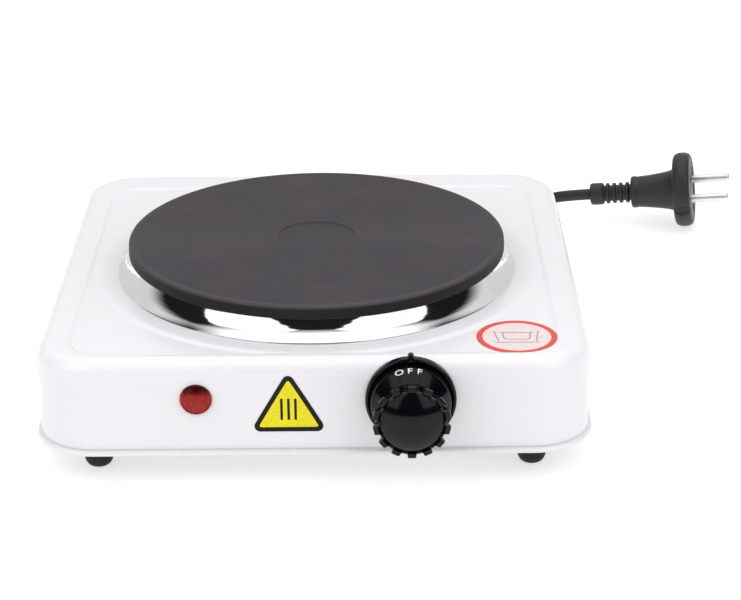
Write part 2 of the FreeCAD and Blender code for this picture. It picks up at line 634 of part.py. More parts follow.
hole_z = block_low + 6
block_front = block_y - 9
block_back = block_y + 9
core_start = rear_y - 30
keep(group([wire([(d.cord_x - 1.5, core_start, d.cord_z), (d.cord_x - 1.5, core_start - 6, d.cord_z),
                  (block_x + 16, block_back + 6, hole_z + 4), (block_x + 8, block_back + 5, hole_z),
                  (block_x + 8, block_back - 5, hole_z)], "live core"),
            wire([(d.cord_x + 1.5, core_start, d.cord_z + 0.5),
                  (d.cord_x + 1.5, core_start - 6, d.cord_z + 0.5),
                  (d.cord_x - 12, core_start - 13, d.cord_z + 5), (block_x - 2, block_back + 12, d.cord_z),
                  (block_x - 8, block_back + 6, hole_z + 2), (block_x - 8, block_back - 5, hole_z)],
                 "neutral core")]), "lead_cores")
pin_z = pan_z - bead_drop - 6
(inner_x, inner_y), (outer_x, outer_y) = terminal_spots
keep(group([wire([(block_x - 7, block_front + 5, hole_z), (block_x - 7, block_front - 14, hole_z),
                  (-58, 36, 26), (-62, -20, 27), (inner_x - 10, inner_y - 6, 30),
                  (inner_x, inner_y, 38), (inner_x, inner_y, pin_z)], "element wire"),
            wire([(leaf_tab_x, moving_y + 0.2, d.knob_z), (leaf_tab_x + 7, moving_y + 0.2, d.knob_z),
                  (leaf_tab_x + 8, moving_y + 2, d.knob_z - 11), (leaf_tab_x - 4, moving_y + 18, 28),
                  (outer_x + 20, outer_y + 2, 32), (outer_x, outer_y, 39), (outer_x, outer_y, pin_z)],
                 "switched wire")]), "element_wires")
keep(wire([(block_x + 8, block_front + 5, hole_z), (block_x + 8, block_front - 14, hole_z),
           (46, 34, 26), (84, -10, 29), (97, -56, 34), (94, fixed_y + 14, d.knob_z),
           (leaf_tab_x + 14, fixed_y + 4, d.knob_z + 2), (leaf_tab_x + 7, fixed_y + 0.2, d.knob_z),
           (leaf_tab_x, fixed_y + 0.2, d.knob_z)], "switch feed wire"), "switch_feed_wire")
holder_back = wall_y + 25.4
feed_x = d.knob_x + 6
keep(group([wire([(d.lamp_x - 2, holder_back, d.lamp_z), (d.lamp_x - 2, holder_back + 8, d.lamp_z),
                  (-70, -40, 30), (-76, 30, 24), (-45, 62, 24), (block_x - 9.1, block_front - 10, hole_z),
                  (block_x - 9.1, block_front + 5, hole_z)], "lamp return"),
            wire([(d.lamp_x + 2, holder_back, d.lamp_z), (d.lamp_x + 2, holder_back + 8, d.lamp_z),
                  (-26, holder_back + 6, 27), (8, holder_back + 3, 24), (36, holder_back - 2, 24),
                  (feed_x, fixed_y + 0.2, 29), (feed_x, fixed_y + 0.2, d.knob_z - leaf_half)],
                 "lamp feed")]), "lamp_wires")

RUN_ROUTE = [
    (30.0, 165.2, 36.0), (30.0, 181.0, 36.0), (29.8, 196.0, 29.5), (29.6, 208.5, 19.5),
    (29.8, 221.5, 8.8), (30.4, 235.5, 3.5),
]
TAIL_ROUTE = [
    (71.0, 267.8, 9.0), (87.0, 267.4, 9.2), (102.5, 262.5, 5.4), (115.0, 252.5, 3.6),
    (122.5, 240.5, 4.8), (130.0, 231.0, 9.2), (141.1, 224.9, 13.8), (156.1, 221.7, 15.7),
]
keep(tube(RUN_ROUTE, d.cord_radius.value, "mains cord run"), "mains_cord_run")
keep(tube(TAIL_ROUTE, d.cord_radius.value, "mains cord tail"), "mains_cord_tail")
low_r = d.coil_mid - d.coil_half
high_r = d.coil_mid + d.coil_half
keep(turned([(low_r, 2), (low_r + 2, 0), (high_r - 2, 0), (high_r, 2), (high_r, d.coil_height - 5),
             (high_r - 4, d.coil_height), (low_r + 4, d.coil_height), (low_r, d.coil_height - 5)],
            (d.coil_x, d.coil_y, 0)), "mains_cord_coil")

# ---------------------------------------------------------------- plug
tail_end = FreeCAD.Vector(*TAIL_ROUTE[-1])
ahead = (tail_end - FreeCAD.Vector(*TAIL_ROUTE[-2])).normalize()
level = ahead.cross(FreeCAD.Vector(0, 0, 1)).normalize()
pin_line = FreeCAD.Rotation(ahead, 17).multVec(level)
plug_turn = FreeCAD.Rotation(pin_line, ahead.cross(pin_line), ahead, "ZXY")
plug_spot = (tail_end.x, tail_end.y, tail_end.z)
relief_end = 24.1
neck = 4.6
ribs = []
for number in range(4):
    rib = 9.0 + 3.8 * number
    ribs += [(neck, rib), (6.0, rib + 0.3), (6.0, rib + 2.1), (neck, rib + 2.4)]
keep(turned([(0, 0), (5.8, 0), (6.4, 0.8), (6.4, 7.0), (5.8, 7.8), (neck, 7.8)] + ribs
            + [(neck, relief_end), (0, relief_end)], plug_spot, plug_turn), "plug_relief")
flange_radius = Size.of(21.4)
flange_round = 2.2
pin_radius = 2.4
pin_spacing = 9.5
pin_start = 50.5
flange_back = 49.4
flange_front = 59.2
past_flange = 62.0
plug_outline = [(0, relief_end), (8.4, relief_end), (9.2, relief_end + 0.8), (9.0, relief_end + 3.2),
                (11.3, 46.0), (12.4, flange_back), (flange_radius - flange_round, flange_back, flange_round),
                (flange_radius, flange_back + flange_round),
                (flange_radius, flange_front - flange_round, flange_round),
                (flange_radius - flange_round, flange_front), (0, flange_front)]
plug_form = turned(plug_outline, plug_spot, plug_turn)


def plug_rods(radius, start, end, offsets):
    """Rods along the plug's axis, side by side on the line between its pins."""
    return [cylinder(radius, end - start, numbers(*(tail_end + ahead * start + pin_line * offset)), plug_turn)
            for offset in offsets]


keep(cut(plug_form, plug_rods(pin_radius, pin_start, past_flange, (-pin_spacing, pin_spacing))
         + plug_rods(3.2, flange_back - 1, past_flange, (-22.6, 22.6))), "plug_body")
keep(group([turned([(0, 0), (pin_radius, 0), (pin_radius, 28.3, 2.6), (1.0, 30.1), (0, 30.1)],
                   numbers(*(tail_end + ahead * pin_start + pin_line * offset)), plug_turn)
            for offset in (-pin_spacing, pin_spacing)]), "plug_pins")

# ---------------------------------------------------------------- labels
corner = 2.6
side_length = d.label_width + 1.464 * corner
cut_back = corner * math.sqrt(3)
slope_x = cut_back / 2
slope_y = cut_back * math.sqrt(3) / 2
apex = side_length * (math.sqrt(3) / 2)
triangle = [(-side_length / 2 + cut_back, 0), (side_length / 2 - cut_back, 0, corner),
            (side_length / 2 - slope_x, slope_y), (slope_x, apex - slope_y, corner),
            (-slope_x, apex - slope_y), (-side_length / 2 + slope_x, slope_y, corner)]
keep(flat([triangle], d.label_skin, (d.label_x, wall_y, d.label_z - 13.5), "-Y"), "front_label")
keep(turned([(0, 0), (d.round_label_radius, 0), (d.round_label_radius, d.label_skin), (0, d.label_skin)],
            (d.round_label_x, burner_y + d.round_label_y, d.housing_top - d.field_depth)), "round_label")

# ---------------------------------------------------------------- check and write
doc.recompute()
for thing in doc.Objects:
    if "Invalid" in thing.State or "Error" in thing.State:
        raise RuntimeError(f"{thing.Name} ({thing.Label}) failed: {thing.State}")
os.makedirs("parts", exist_ok=True)
for part in sub_parts:
    shape = part.Shape
    if shape.isNull() or not shape.isValid() or not shape.Solids:
        raise RuntimeError(f"{part.Label} has no sound shape")
    shape.exportStep(f"parts/{part.Label}.step")
print(f"{len(sub_parts)} sub-parts written")
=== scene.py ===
"""Looks of a single electric hot plate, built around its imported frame. Metres, +Z up, front wall to -Y."""

import json
import logging
import math
from dataclasses import dataclass, field
from enum import Enum
from typing import Any, Callable, Optional, Sequence, Union

import bmesh
import bpy
from mathutils import Matrix, Vector


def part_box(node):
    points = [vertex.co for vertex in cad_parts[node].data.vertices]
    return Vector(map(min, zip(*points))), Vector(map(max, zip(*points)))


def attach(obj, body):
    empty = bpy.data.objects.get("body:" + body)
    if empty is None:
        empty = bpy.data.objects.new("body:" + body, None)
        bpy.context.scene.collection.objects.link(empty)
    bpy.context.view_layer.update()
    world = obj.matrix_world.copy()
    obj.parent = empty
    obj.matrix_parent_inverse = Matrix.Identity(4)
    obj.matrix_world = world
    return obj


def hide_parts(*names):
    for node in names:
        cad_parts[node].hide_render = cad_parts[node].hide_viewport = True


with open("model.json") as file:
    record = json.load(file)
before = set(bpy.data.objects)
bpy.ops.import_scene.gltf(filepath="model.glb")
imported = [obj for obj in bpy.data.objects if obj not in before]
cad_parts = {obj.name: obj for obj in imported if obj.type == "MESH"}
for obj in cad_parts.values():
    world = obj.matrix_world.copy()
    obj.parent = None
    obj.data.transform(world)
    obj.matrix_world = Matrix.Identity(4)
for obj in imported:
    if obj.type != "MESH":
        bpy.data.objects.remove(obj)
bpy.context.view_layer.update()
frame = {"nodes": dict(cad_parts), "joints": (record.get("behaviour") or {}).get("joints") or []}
LOG = logging.getLogger("hot_plate")

Colour = tuple[float, float, float]
Corner = tuple[float, ...]
Spot = tuple[float, float]
Value = Union[float, "Signal"]
Lift = Callable[[float, float, float], Vector]
Reach = Callable[[float, float, float], float]
Skin = tuple[list[Vector], list[list[int]]]

TURN = 2 * math.pi
ARC_STEP = math.radians(9)
AHEAD = Matrix.Rotation(math.radians(90), 4, "X")
BEHIND = Matrix.Rotation(math.radians(-90), 4, "X")


class Body(Enum):
    """Bodies of the frame that the visual pieces ride on."""

    HOUSING = "housing"
    KNOB = "knob"


# ---------------------------------------------------------------- finishes
class Signal:
    """A number socket of a finish, usable in Python expressions."""

    def __init__(self, graph: "Graph", socket: bpy.types.NodeSocket) -> None:
        """Wrap one output socket of a graph."""
        self.graph = graph
        self.socket = socket

    def _maths(self, operation: str, first: Value, second: Value) -> "Signal":
        """Add a Math node working on two values."""
        return self.graph.add("ShaderNodeMath", {"operation": operation}, {0: first, 1: second})

    def __add__(self, other: Value) -> "Signal":
        """Sum."""
        return self._maths("ADD", self, other)

    def __radd__(self, other: Value) -> "Signal":
        """Sum, reflected."""
        return self._maths("ADD", other, self)

    def __sub__(self, other: Value) -> "Signal":
        """Difference."""
        return self._maths("SUBTRACT", self, other)

    def __rsub__(self, other: Value) -> "Signal":
        """Difference, reflected."""
        return self._maths("SUBTRACT", other, self)

    def __mul__(self, other: Value) -> "Signal":
        """Product."""
        return self._maths("MULTIPLY", self, other)

    def __rmul__(self, other: Value) -> "Signal":
        """Product, reflected."""
        return self._maths("MULTIPLY", other, self)

    def ramp(self, low: float, high: float, start: float = 0.0, end: float = 1.0) -> "Signal":
        """Ease from start to end as this signal goes from low to high.

        Args:
            low: Level where the result is start.
            high: Level where the result is end.
            start: Result at low.
            end: Result at high.

        Returns:
            The eased signal.
        """
        settings = {"interpolation_type": "SMOOTHSTEP"}
        levels = {"Value": self, "From Min": low, "From Max": high, "To Min": start, "To Max": end}
        return self.graph.add("ShaderNodeMapRange", settings, levels)


class Graph:
    """Node tree of a material or of the surroundings."""

    def __init__(self, owner: Union[bpy.types.Material, bpy.types.World]) -> None:
        """Clear the owner's node tree and work on it.

        Args:
            owner: Material or world that the tree belongs to.
        """
        owner.use_nodes = True
        self.tree = owner.node_tree
        self.tree.nodes.clear()

    @staticmethod
    def find(sockets: Any, key: Union[str, int, None]) -> Optional[bpy.types.NodeSocket]:
        """Find a socket that is in use by its name or number.

        Args:
            sockets: A node's inputs or outputs.
            key: Name or number; None stands for the first one.

        Returns:
            The socket, or None where the node has none.
        """
        ready = [socket for socket in sockets if socket.enabled]
        if isinstance(key, str):
            return next(socket for socket in ready if key in (socket.name, socket.identifier))
        return ready[key or 0] if ready else None

    def add(self, kind: str, settings: Optional[dict[str, Any]] = None,
            sockets: Optional[dict[Union[str, int], Any]] = None,
            output: Optional[str] = None) -> Signal:
        """Add a node, set it up and link it.

        Args:
            kind: Blender's name of the node type.
            settings: The node's own settings.
            sockets: Value or signal for each input, by name or number.
            output: Name of the output wanted, the first one by default.

        Returns:
            The node's output as a signal.
        """
        node = self.tree.nodes.new(kind)
        for name, setting in (settings or {}).items():
            setattr(node, name, setting)
        for key, value in (sockets or {}).items():
            target = self.find(node.inputs, key)
            if isinstance(value, Signal):
                self.tree.links.new(value.socket, target)
            else:
                target.default_value = value
        return Signal(self, self.find(node.outputs, output))

    def where(self) -> Signal:
        """Place on the piece, in metres, in the frame's axes."""
        return self.add("ShaderNodeTexCoord", output="Object")

    def height(self) -> Signal:
        """Height on the piece, in metres, in the frame's axes."""
        return self.add("ShaderNodeSeparateXYZ", {}, {"Vector": self.where()}, "Z")

    def noise(self, scale: float, detail: float = 3.0, roughness: float = 0.5) -> Signal:
        """Soft random variation.

        Args:
            scale: Lumps per metre.
            detail: Octaves of finer lumps.
            roughness: Strength of the finer lumps.

        Returns:
            A signal about 0.5.
        """
        sockets = {"Vector": self.where(), "Scale": scale, "Detail": detail, "Roughness": roughness}
        return self.add("ShaderNodeTexNoise", {}, sockets)

    def blend(self, mask: Value, first: Any, second: Any) -> Signal:
        """Mix two colours by a mask.

        Args:
            mask: 0 gives the first colour and 1 the second.
            first: Colour or signal.
            second: Colour or signal.

        Returns:
            The mixed colour.
        """
        first, second = (tone if isinstance(tone, Signal) else (*tone, 1.0) for tone in (first, second))
        sockets = {"Factor": mask, "A": first, "B": second}
        return self.add("ShaderNodeMix", {"data_type": "RGBA"}, sockets)

    def surface(self, sockets: dict[str, Any], relief: Optional[Signal] = None, depth: float = 0.0) -> None:
        """Close the tree with its shader.

        Args:
            sockets: The shader's own sockets.
            relief: Height signal for fine relief, if any.
            depth: Height in metres for a change of 1 in relief.
        """
        sockets = dict(sockets)
        if relief is not None:
            sockets["Normal"] = self.add("ShaderNodeBump", {}, {"Distance": depth, "Height": relief})
        shader = self.add("ShaderNodeBsdfPrincipled", {}, sockets)
        self.add("ShaderNodeOutputMaterial", {}, {"Surface": shader})


def shade(colour: Colour, factor: float) -> Colour:
    """Lighten or darken a colour."""
    return tuple(min(1.0, channel * factor) for channel in colour)


@dataclass(frozen=True)
class Finish:
    """A finish that dresses pieces; its material is made once, under its name."""

    name: str
    colour: Colour

    def material(self) -> bpy.types.Material:
        """Give the finish's material, making it the first time.

        Returns:
            The material.
        """
        label = "finish_" + self.name
        ready = bpy.data.materials.get(label)
        if ready is None:
            ready = bpy.data.materials.new(label)
            self.paint(Graph(ready))
        return ready

    def paint(self, graph: Graph) -> None:
        """Build the node tree of the finish; each kind of finish has its own."""
        raise NotImplementedError


@dataclass(frozen=True)
class Enamel(Finish):
    """Stoved gloss enamel on pressed steel, with a faint ripple under the gloss."""

    ripple: float = 0.00003

    def paint(self, graph: Graph) -> None:
        """Build the node tree of the finish."""
        cloud = graph.noise(9.0, 2.0)
        fleck = graph.noise(2600.0, 2.0)
        tone = graph.blend(cloud.ramp(0.15, 0.85), shade(self.colour, 0.99), shade(self.colour, 1.01))
        tone = graph.blend(fleck.ramp(0.68, 0.8, 0.0, 0.35), tone, shade(self.colour, 0.9))
        graph.surface({"Base Color": tone, "Roughness": cloud.ramp(0.2, 0.8, 0.24, 0.32),
                       "Specular IOR Level": 0.5, "Coat Weight": 0.25, "Coat Roughness": 0.12},
                      graph.noise(420.0, 2.0), self.ripple)


@dataclass(frozen=True)
class Casting(Finish):
    """Dark heat-proof coat on ground cast iron, a little brown where it has been hot; painted shade turns the
    rim's side and underside almost black.
    """

    warm: Colour = (0.050, 0.040, 0.047)
    painted_rim_shade_low: float = 0.0742
    painted_rim_shade_high: float = 0.0754

    def paint(self, graph: Graph) -> None:
        """Build the node tree of the finish."""
        patches = graph.noise(38.0, 4.0, 0.6)
        grain = graph.noise(3400.0, 3.0, 0.65)
        tone = graph.blend(patches.ramp(0.36, 0.74), self.colour, self.warm)
        # painted shade: below the rim's upper edge the coat is darkened to almost black
        tone = graph.blend(graph.height().ramp(self.painted_rim_shade_low, self.painted_rim_shade_high), shade(self.colour, 0.08), tone)
        tone = graph.blend(grain.ramp(0.62, 0.8, 0.0, 0.6), tone, shade(self.colour, 1.9))
        graph.surface({"Base Color": tone, "Roughness": grain.ramp(0.2, 0.8, 0.5, 0.66),
                       "Specular IOR Level": 0.35}, grain, 0.00006)


@dataclass(frozen=True)
class Metal(Finish):
    """Bare or plated metal with fine working marks."""

    roughness: float = 0.2
    marks: float = 0.00001
    lumps: float = 900.0
    anisotropy: float = 0.0

    def paint(self, graph: Graph) -> None:
        """Build the node tree of the finish."""
        haze = graph.noise(45.0, 4.0, 0.6)
        scratch = graph.noise(self.lumps, 3.0, 0.7)
        tone = graph.blend(haze.ramp(0.35, 0.7), shade(self.colour, 0.94), shade(self.colour, 1.03))
        graph.surface({"Base Color": tone, "Metallic": 1.0, "Anisotropic": self.anisotropy,
                       "Roughness": haze.ramp(0.25, 0.75, self.roughness * 0.85, self.roughness * 1.3)},
                      scratch, self.marks)


@dataclass(frozen=True)
class Moulding(Finish):
    """Moulded plastic or rubber, with the grain of its mould and a little wear."""

    roughness: float = 0.3
    grain: float = 0.00002
    lumps: float = 1800.0
    gloss: float = 0.45

    def paint(self, graph: Graph) -> None:
        """Build the node tree of the finish."""
        wear = graph.noise(70.0, 4.0, 0.6)
        grain = graph.noise(self.lumps, 3.0, 0.6)
        tone = graph.blend(wear.ramp(0.45, 0.75), self.colour, shade(self.colour, 1.35))
        sheen = wear.ramp(0.3, 0.75, self.roughness * 0.88, self.roughness * 1.22)
        graph.surface({"Base Color": tone, "Roughness": sheen, "Specular IOR Level": self.gloss},
                      grain, self.grain)


@dataclass(frozen=True)
class Ceramic(Finish):
    """Unglazed fired ceramic or pressed mineral board, pored and flecked."""

    fleck: float = 0.25
    lumps: float = 700.0

    def paint(self, graph: Graph) -> None:
        """Build the node tree of the finish."""
        pores = graph.noise(self.lumps, 5.0, 0.65)
        tone = graph.blend(pores.ramp(0.4, 0.7, 0.0, self.fleck), self.colour, shade(self.colour, 0.55))
        graph.surface({"Base Color": tone, "Roughness": pores.ramp(0.3, 0.7, 0.7, 0.85)}, pores, 0.0001)


@dataclass(frozen=True)
class Sleeve(Finish):
    """Woven heat-proof sleeve over a wire."""

    weave: float = 1400.0

    def paint(self, graph: Graph) -> None:
        """Build the node tree of the finish."""
        threads = graph.add("ShaderNodeTexVoronoi", {}, {"Vector": graph.where(), "Scale": self.weave})
        tone = graph.blend(threads.ramp(0.1, 0.6), self.colour, shade(self.colour, 0.6))
        graph.surface({"Base Color": tone, "Roughness": 0.75}, threads, 0.0001)


@dataclass(frozen=True)
class Jewel(Finish):
    """Clear coloured plastic of the lamp's lens, darker where its holder shades it from above."""

    # colour of the painted shade at the top of the lens
    deep: Colour = (0.035, 0.0015, 0.001)
    shade_low: float = 0.0435
    shade_high: float = 0.0472

    def paint(self, graph: Graph) -> None:
        """Build the node tree of the finish."""
        depth = graph.noise(700.0, 2.0, 0.6)
        body = graph.blend(depth.ramp(0.35, 0.65), self.colour, shade(self.colour, 0.7))
        # painted shade: above shade_low the lens turns to the dark colour, as if shaded by its holder
        tone = graph.blend(graph.height().ramp(self.shade_low, self.shade_high), body, self.deep)
        graph.surface({"Base Color": tone, "Roughness": depth.ramp(0.3, 0.7, 0.14, 0.2),
                       "Specular IOR Level": 0.2}, depth, 0.00002)


@dataclass(frozen=True)
class Glass(Finish):
    """Thin clear glass, a little hazy."""

    def paint(self, graph: Graph) -> None:
        """Build the node tree of the finish."""
        haze = graph.noise(300.0, 2.0)
        graph.surface({"Base Color": (*self.colour, 1.0), "Roughness": haze.ramp(0.3, 0.7, 0.02, 0.08),
                       "Transmission Weight": 0.9, "IOR": 1.45})


@dataclass(frozen=True)
class Ink(Finish):
    """Printed ink on a glossy sticker, its tone a little uneven."""

    roughness: float = 0.35

    def paint(self, graph: Graph) -> None:
        """Build the node tree of the finish."""
        print_tone = graph.noise(900.0, 3.0, 0.6)
        tone = graph.blend(print_tone.ramp(0.35, 0.7), self.colour, shade(self.colour, 0.86))
        sheen = print_tone.ramp(0.3, 0.7, self.roughness, self.roughness + 0.1)
        graph.surface({"Base Color": tone, "Roughness": sheen, "Specular IOR Level": 0.15},
                      print_tone, 0.00001)


ENAMEL = Enamel("white_enamel", (0.72, 0.705, 0.73))
PLATE_COAT = Casting("plate_coat", (0.039, 0.036, 0.042))
CHROME = Metal("chrome", (0.86, 0.86, 0.87), roughness=0.05, marks=0.000002, lumps=500.0, anisotropy=0.2)
KNOB_BLACK = Moulding("knob_black", (0.0025, 0.002, 0.003), roughness=0.12, grain=0.000004, gloss=0.24)
CORD_BLACK = Moulding("cord_black", (0.012, 0.011, 0.013), roughness=0.46, grain=0.00003)
PLUG_BLACK = Moulding("plug_black", (0.014, 0.013, 0.016), roughness=0.42, grain=0.00002)
FOOT_BLACK = Moulding("foot_black", (0.008, 0.008, 0.009), roughness=0.5, grain=0.00004, gloss=0.3)
LENS_RED = Jewel("lens_red", (0.33, 0.016, 0.011))
YELLOW = Ink("yellow_ink", (0.76, 0.66, 0.02))
BLACK_INK = Ink("black_ink", (0.010, 0.009, 0.006))
RED_INK = Ink("red_ink", (0.66, 0.085, 0.065))
WHITE_INK = Ink("white_ink", (0.76, 0.63, 0.63))
GREY_INK = Ink("grey_ink", (0.36, 0.31, 0.33))
LETTER_WHITE = Ink("letter_white", (0.85, 0.85, 0.86), roughness=0.5)
NICKEL = Metal("nickel", (0.86, 0.83, 0.83), roughness=0.34)
ZINC = Metal("zinc_steel", (0.62, 0.62, 0.60), roughness=0.32, marks=0.00003)
BASE_STEEL = Metal("base_steel", (0.46, 0.47, 0.48), roughness=0.42, marks=0.00003, lumps=350.0)
BRASS = Metal("brass", (0.72, 0.52, 0.24), roughness=0.26)
HEATING = Metal("heating_wire", (0.30, 0.28, 0.27), roughness=0.5, marks=0.00004)
FIRED = Ceramic("fired_ceramic", (0.80, 0.78, 0.72))
BOARD = Ceramic("mineral_board", (0.60, 0.57, 0.50), fleck=0.6, lumps=1500.0)
HOLDER = Moulding("holder_plastic", (0.55, 0.54, 0.50), roughness=0.45)
BULB = Glass("bulb_glass", (0.95, 0.93, 0.90))
SLEEVE = Sleeve("wire_sleeve", (0.66, 0.64, 0.60))

SLOT_FINISH: dict[str, Finish] = {
    "white_enamel": ENAMEL, "base_steel": BASE_STEEL, "zinc_steel": ZINC, "foot_rubber": FOOT_BLACK,
    "cast_iron": PLATE_COAT, "heating_wire": HEATING, "white_ceramic": FIRED, "mineral_board": BOARD,
    "polished_steel": CHROME, "knob_black": KNOB_BLACK, "brass_parts": BRASS, "red_lens": LENS_RED,
    "bulb_glass": BULB, "holder_plastic": HOLDER, "lead_pvc": CORD_BLACK, "wire_sleeve": SLEEVE,
    "plug_pin_metal": NICKEL, "yellow_label": YELLOW, "white_label": WHITE_INK,
}


# ---------------------------------------------------------------- mesh work
def softened(corners: Sequence[Corner], closed: bool = False) -> list[Spot]:
    """Turn an outline with bend radii into points.

    Args:
        corners: Corners as (x, y) or (x, y, bend radius), in order.
        closed: Whether the last corner leads back to the first.

    Returns:
        Points with an arc in place of each corner that has a bend.
    """
    points: list[Spot] = []
    for index, corner in enumerate(corners):
        here = Vector(corner[:2])
        at_end = not closed and index in (0, len(corners) - 1)
        if len(corner) == 2 or at_end:
            points.append(tuple(here))
            continue
        before = Vector(corners[index - 1][:2])
        after = Vector(corners[(index + 1) % len(corners)][:2])
        arrive = (here - before).normalized()
        leave = (after - here).normalized()
        turn = arrive.angle(leave)
        if turn < 0.001:
            points.append(tuple(here))
            continue
        room = 0.49 * min((here - before).length, (after - here).length)
        reach = min(corner[2] * math.tan(turn / 2), room)
        side = 1 if arrive.x * leave.y - arrive.y * leave.x > 0 else -1
        spoke = Vector((arrive.y, -arrive.x)) * (side * reach / math.tan(turn / 2))
        centre = here - arrive * reach - spoke
        steps = max(2, math.ceil(turn / ARC_STEP))
        for step in range(steps + 1):
            angle = side * turn * step / steps
            points.append((centre.x + spoke.x * math.cos(angle) - spoke.y * math.sin(angle),
                           centre.y + spoke.x * math.sin(angle) + spoke.y * math.cos(angle)))
    return points


def smoothstep(value: float) -> float:
    """Ease from 0 to 1 as a value goes from 0 to 1, and hold it there outside."""
    value = min(1.0, max(0.0, value))
    return value * value * (3 - 2 * value)


def mesh_piece(name: str, points: Sequence[Any], faces: Sequence[Sequence[int]],
               finishes: Sequence[Finish], marks: Optional[Sequence[int]] = None,
               crease: float = 32.0) -> bpy.types.Object:
    """Make a mesh object dressed in its finishes, with all its faces turned outwards.

    Args:
        name: Name of the piece.
        points: Vertices in the frame.
        faces: Vertex numbers of each face.
        finishes: Finishes of the piece.
        marks: Number of each face's finish, the first one by default.
        crease: Angle in degrees from which an edge stays sharp.

    Returns:
        The new object.
    """
    mesh = bpy.data.meshes.new(name)
    mesh.from_pydata([tuple(point) for point in points], [], [list(face) for face in faces])
    if marks is not None:
        mesh.polygons.foreach_set("material_index", list(marks))
    work = bmesh.new()
    work.from_mesh(mesh)
    bmesh.ops.recalc_face_normals(work, faces=work.faces)
    work.to_mesh(mesh)
    work.free()
    piece = bpy.data.objects.new(name, mesh)
    bpy.context.scene.collection.objects.link(piece)
    for finish in finishes:
        mesh.materials.append(finish.material())
    shade_edges(mesh, crease)
    return piece


def shade_edges(mesh: bpy.types.Mesh, crease: float) -> None:
    """Shade a mesh smooth, but for edges sharper than the crease angle in degrees."""
    mesh.shade_smooth()
    mesh.set_sharp_from_angle(angle=math.radians(crease))


def turned_mesh(outline: Sequence[Spot], placing: Matrix, segments: int, closed: bool,
                shape: Optional[Reach] = None) -> Skin:
    """Turn an outline about the axis of a placing.

    Args:
        outline: Points as (radius, height).
        placing: Where the turned piece's own origin and axes are.
        segments: Number of steps round.
        closed: Whether the outline's last point leads back to its first.
        shape: Gives a point's radius from its angle, radius and height, if not round.

    Returns:
        Vertices and faces.
    """
    points: list[Vector] = []
    rings: list[list[int]] = []
    for radius, height in outline:
        first = len(points)
        if radius < 1e-7:
            points.append(placing @ Vector((0, 0, height)))
            rings.append([first] * segments)
            continue
        for step in range(segments):
            angle = TURN * step / segments
            reach = shape(angle, radius, height) if shape else radius
            points.append(placing @ Vector((reach * math.cos(angle), reach * math.sin(angle), height)))
        rings.append(list(range(first, first + segments)))
    faces: list[list[int]] = []
    pairs = list(zip(rings, rings[1:])) + ([(rings[-1], rings[0])] if closed else [])
    for low, high in pairs:
        for step in range(segments):
            following = (step + 1) % segments
            loop = [low[step], low[following], high[following], high[step]]
            faces.append(list(dict.fromkeys(loop)))
    return points, [face for face in faces if len(face) > 2]


def turned_piece(name: str, corners: Sequence[Corner], placing: Matrix, finish: Finish,
                 segments: int = 160, closed: bool = False, crease: float = 32.0,
                 shape: Optional[Reach] = None) -> bpy.types.Object:
    """Turn an outline with bends into a dressed piece.

    Args:
        name: Name of the piece.
        corners: Corners as (radius, height) or (radius, height, bend radius).
        placing: Where the piece's own origin and axes are.
        finish: The piece's finish.
        segments: Number of steps round.
        closed: Whether the outline is a loop clear of the axis.
        crease: Angle in degrees from which an edge stays sharp.
        shape: Gives a point's radius, if the piece isn't round.

    Returns:
        The new object.
    """
    points, faces = turned_mesh(softened(corners, closed), placing, segments, closed, shape)
    return mesh_piece(name, points, faces, [finish], crease=crease)


def loft(rings: Sequence[Sequence[Vector]], loop: bool) -> Skin:
    """Join rings of equal count into one skin.

    Args:
        rings: Rings of points, in order.
        loop: Whether the last ring joins the first.

    Returns:
        Vertices and faces.
    """
    count = len(rings[0])
    points = [point for ring in rings for point in ring]
    faces = []
    last = len(rings) if loop else len(rings) - 1
    for row in range(last):
        low = row * count
        high = (row + 1) % len(rings) * count
        for step in range(count):
            following = (step + 1) % count
            faces.append([low + step, low + following, high + following, high + step])
    return points, faces


def drill(piece: bpy.types.Object, cutters: Sequence[bpy.types.Object], crease: float) -> None:
    """Cut holes in a piece and remove the cutters.

    Args:
        piece: The piece to cut.
        cutters: Closed solids, clear of each other.
        crease: Angle in degrees from which an edge stays sharp.
    """
    for cutter in cutters:
        hole = piece.modifiers.new("hole", "BOOLEAN")
        hole.operation = "DIFFERENCE"
        hole.solver = "EXACT"
        hole.object = cutter
    graph = bpy.context.evaluated_depsgraph_get()
    mesh = bpy.data.meshes.new_from_object(piece.evaluated_get(graph))
    piece.modifiers.clear()
    piece.data = mesh
    mesh.materials.clear()
    mesh.materials.append(ENAMEL.material())
    mesh.polygons.foreach_set("material_index", [0] * len(mesh.polygons))
    shade_edges(mesh, crease)
    for cutter in cutters:
        bpy.data.objects.remove(cutter)


def mount(piece: bpy.types.Object, body: Body, slot: str, *stands_for: str) -> bpy.types.Object:
    """Fix a piece to a body of the frame.

    Args:
        piece: The piece.
        body: The body that it moves with.
        slot: The record's material slot of its finish; not used.
        stands_for: CAD nodes that it stands for.

    Returns:
        The piece.
    """
    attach(piece, body.value)
    if stands_for:
        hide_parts(*stands_for)
    LOG.info("%s rides on %s, stands for %s", piece.name, body.value, ", ".join(stands_for) or "nothing")
    return piece


def middle(node: str) -> Vector:
    """Centre of a CAD node's box."""
    low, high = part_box(node)
    return (low + high) / 2


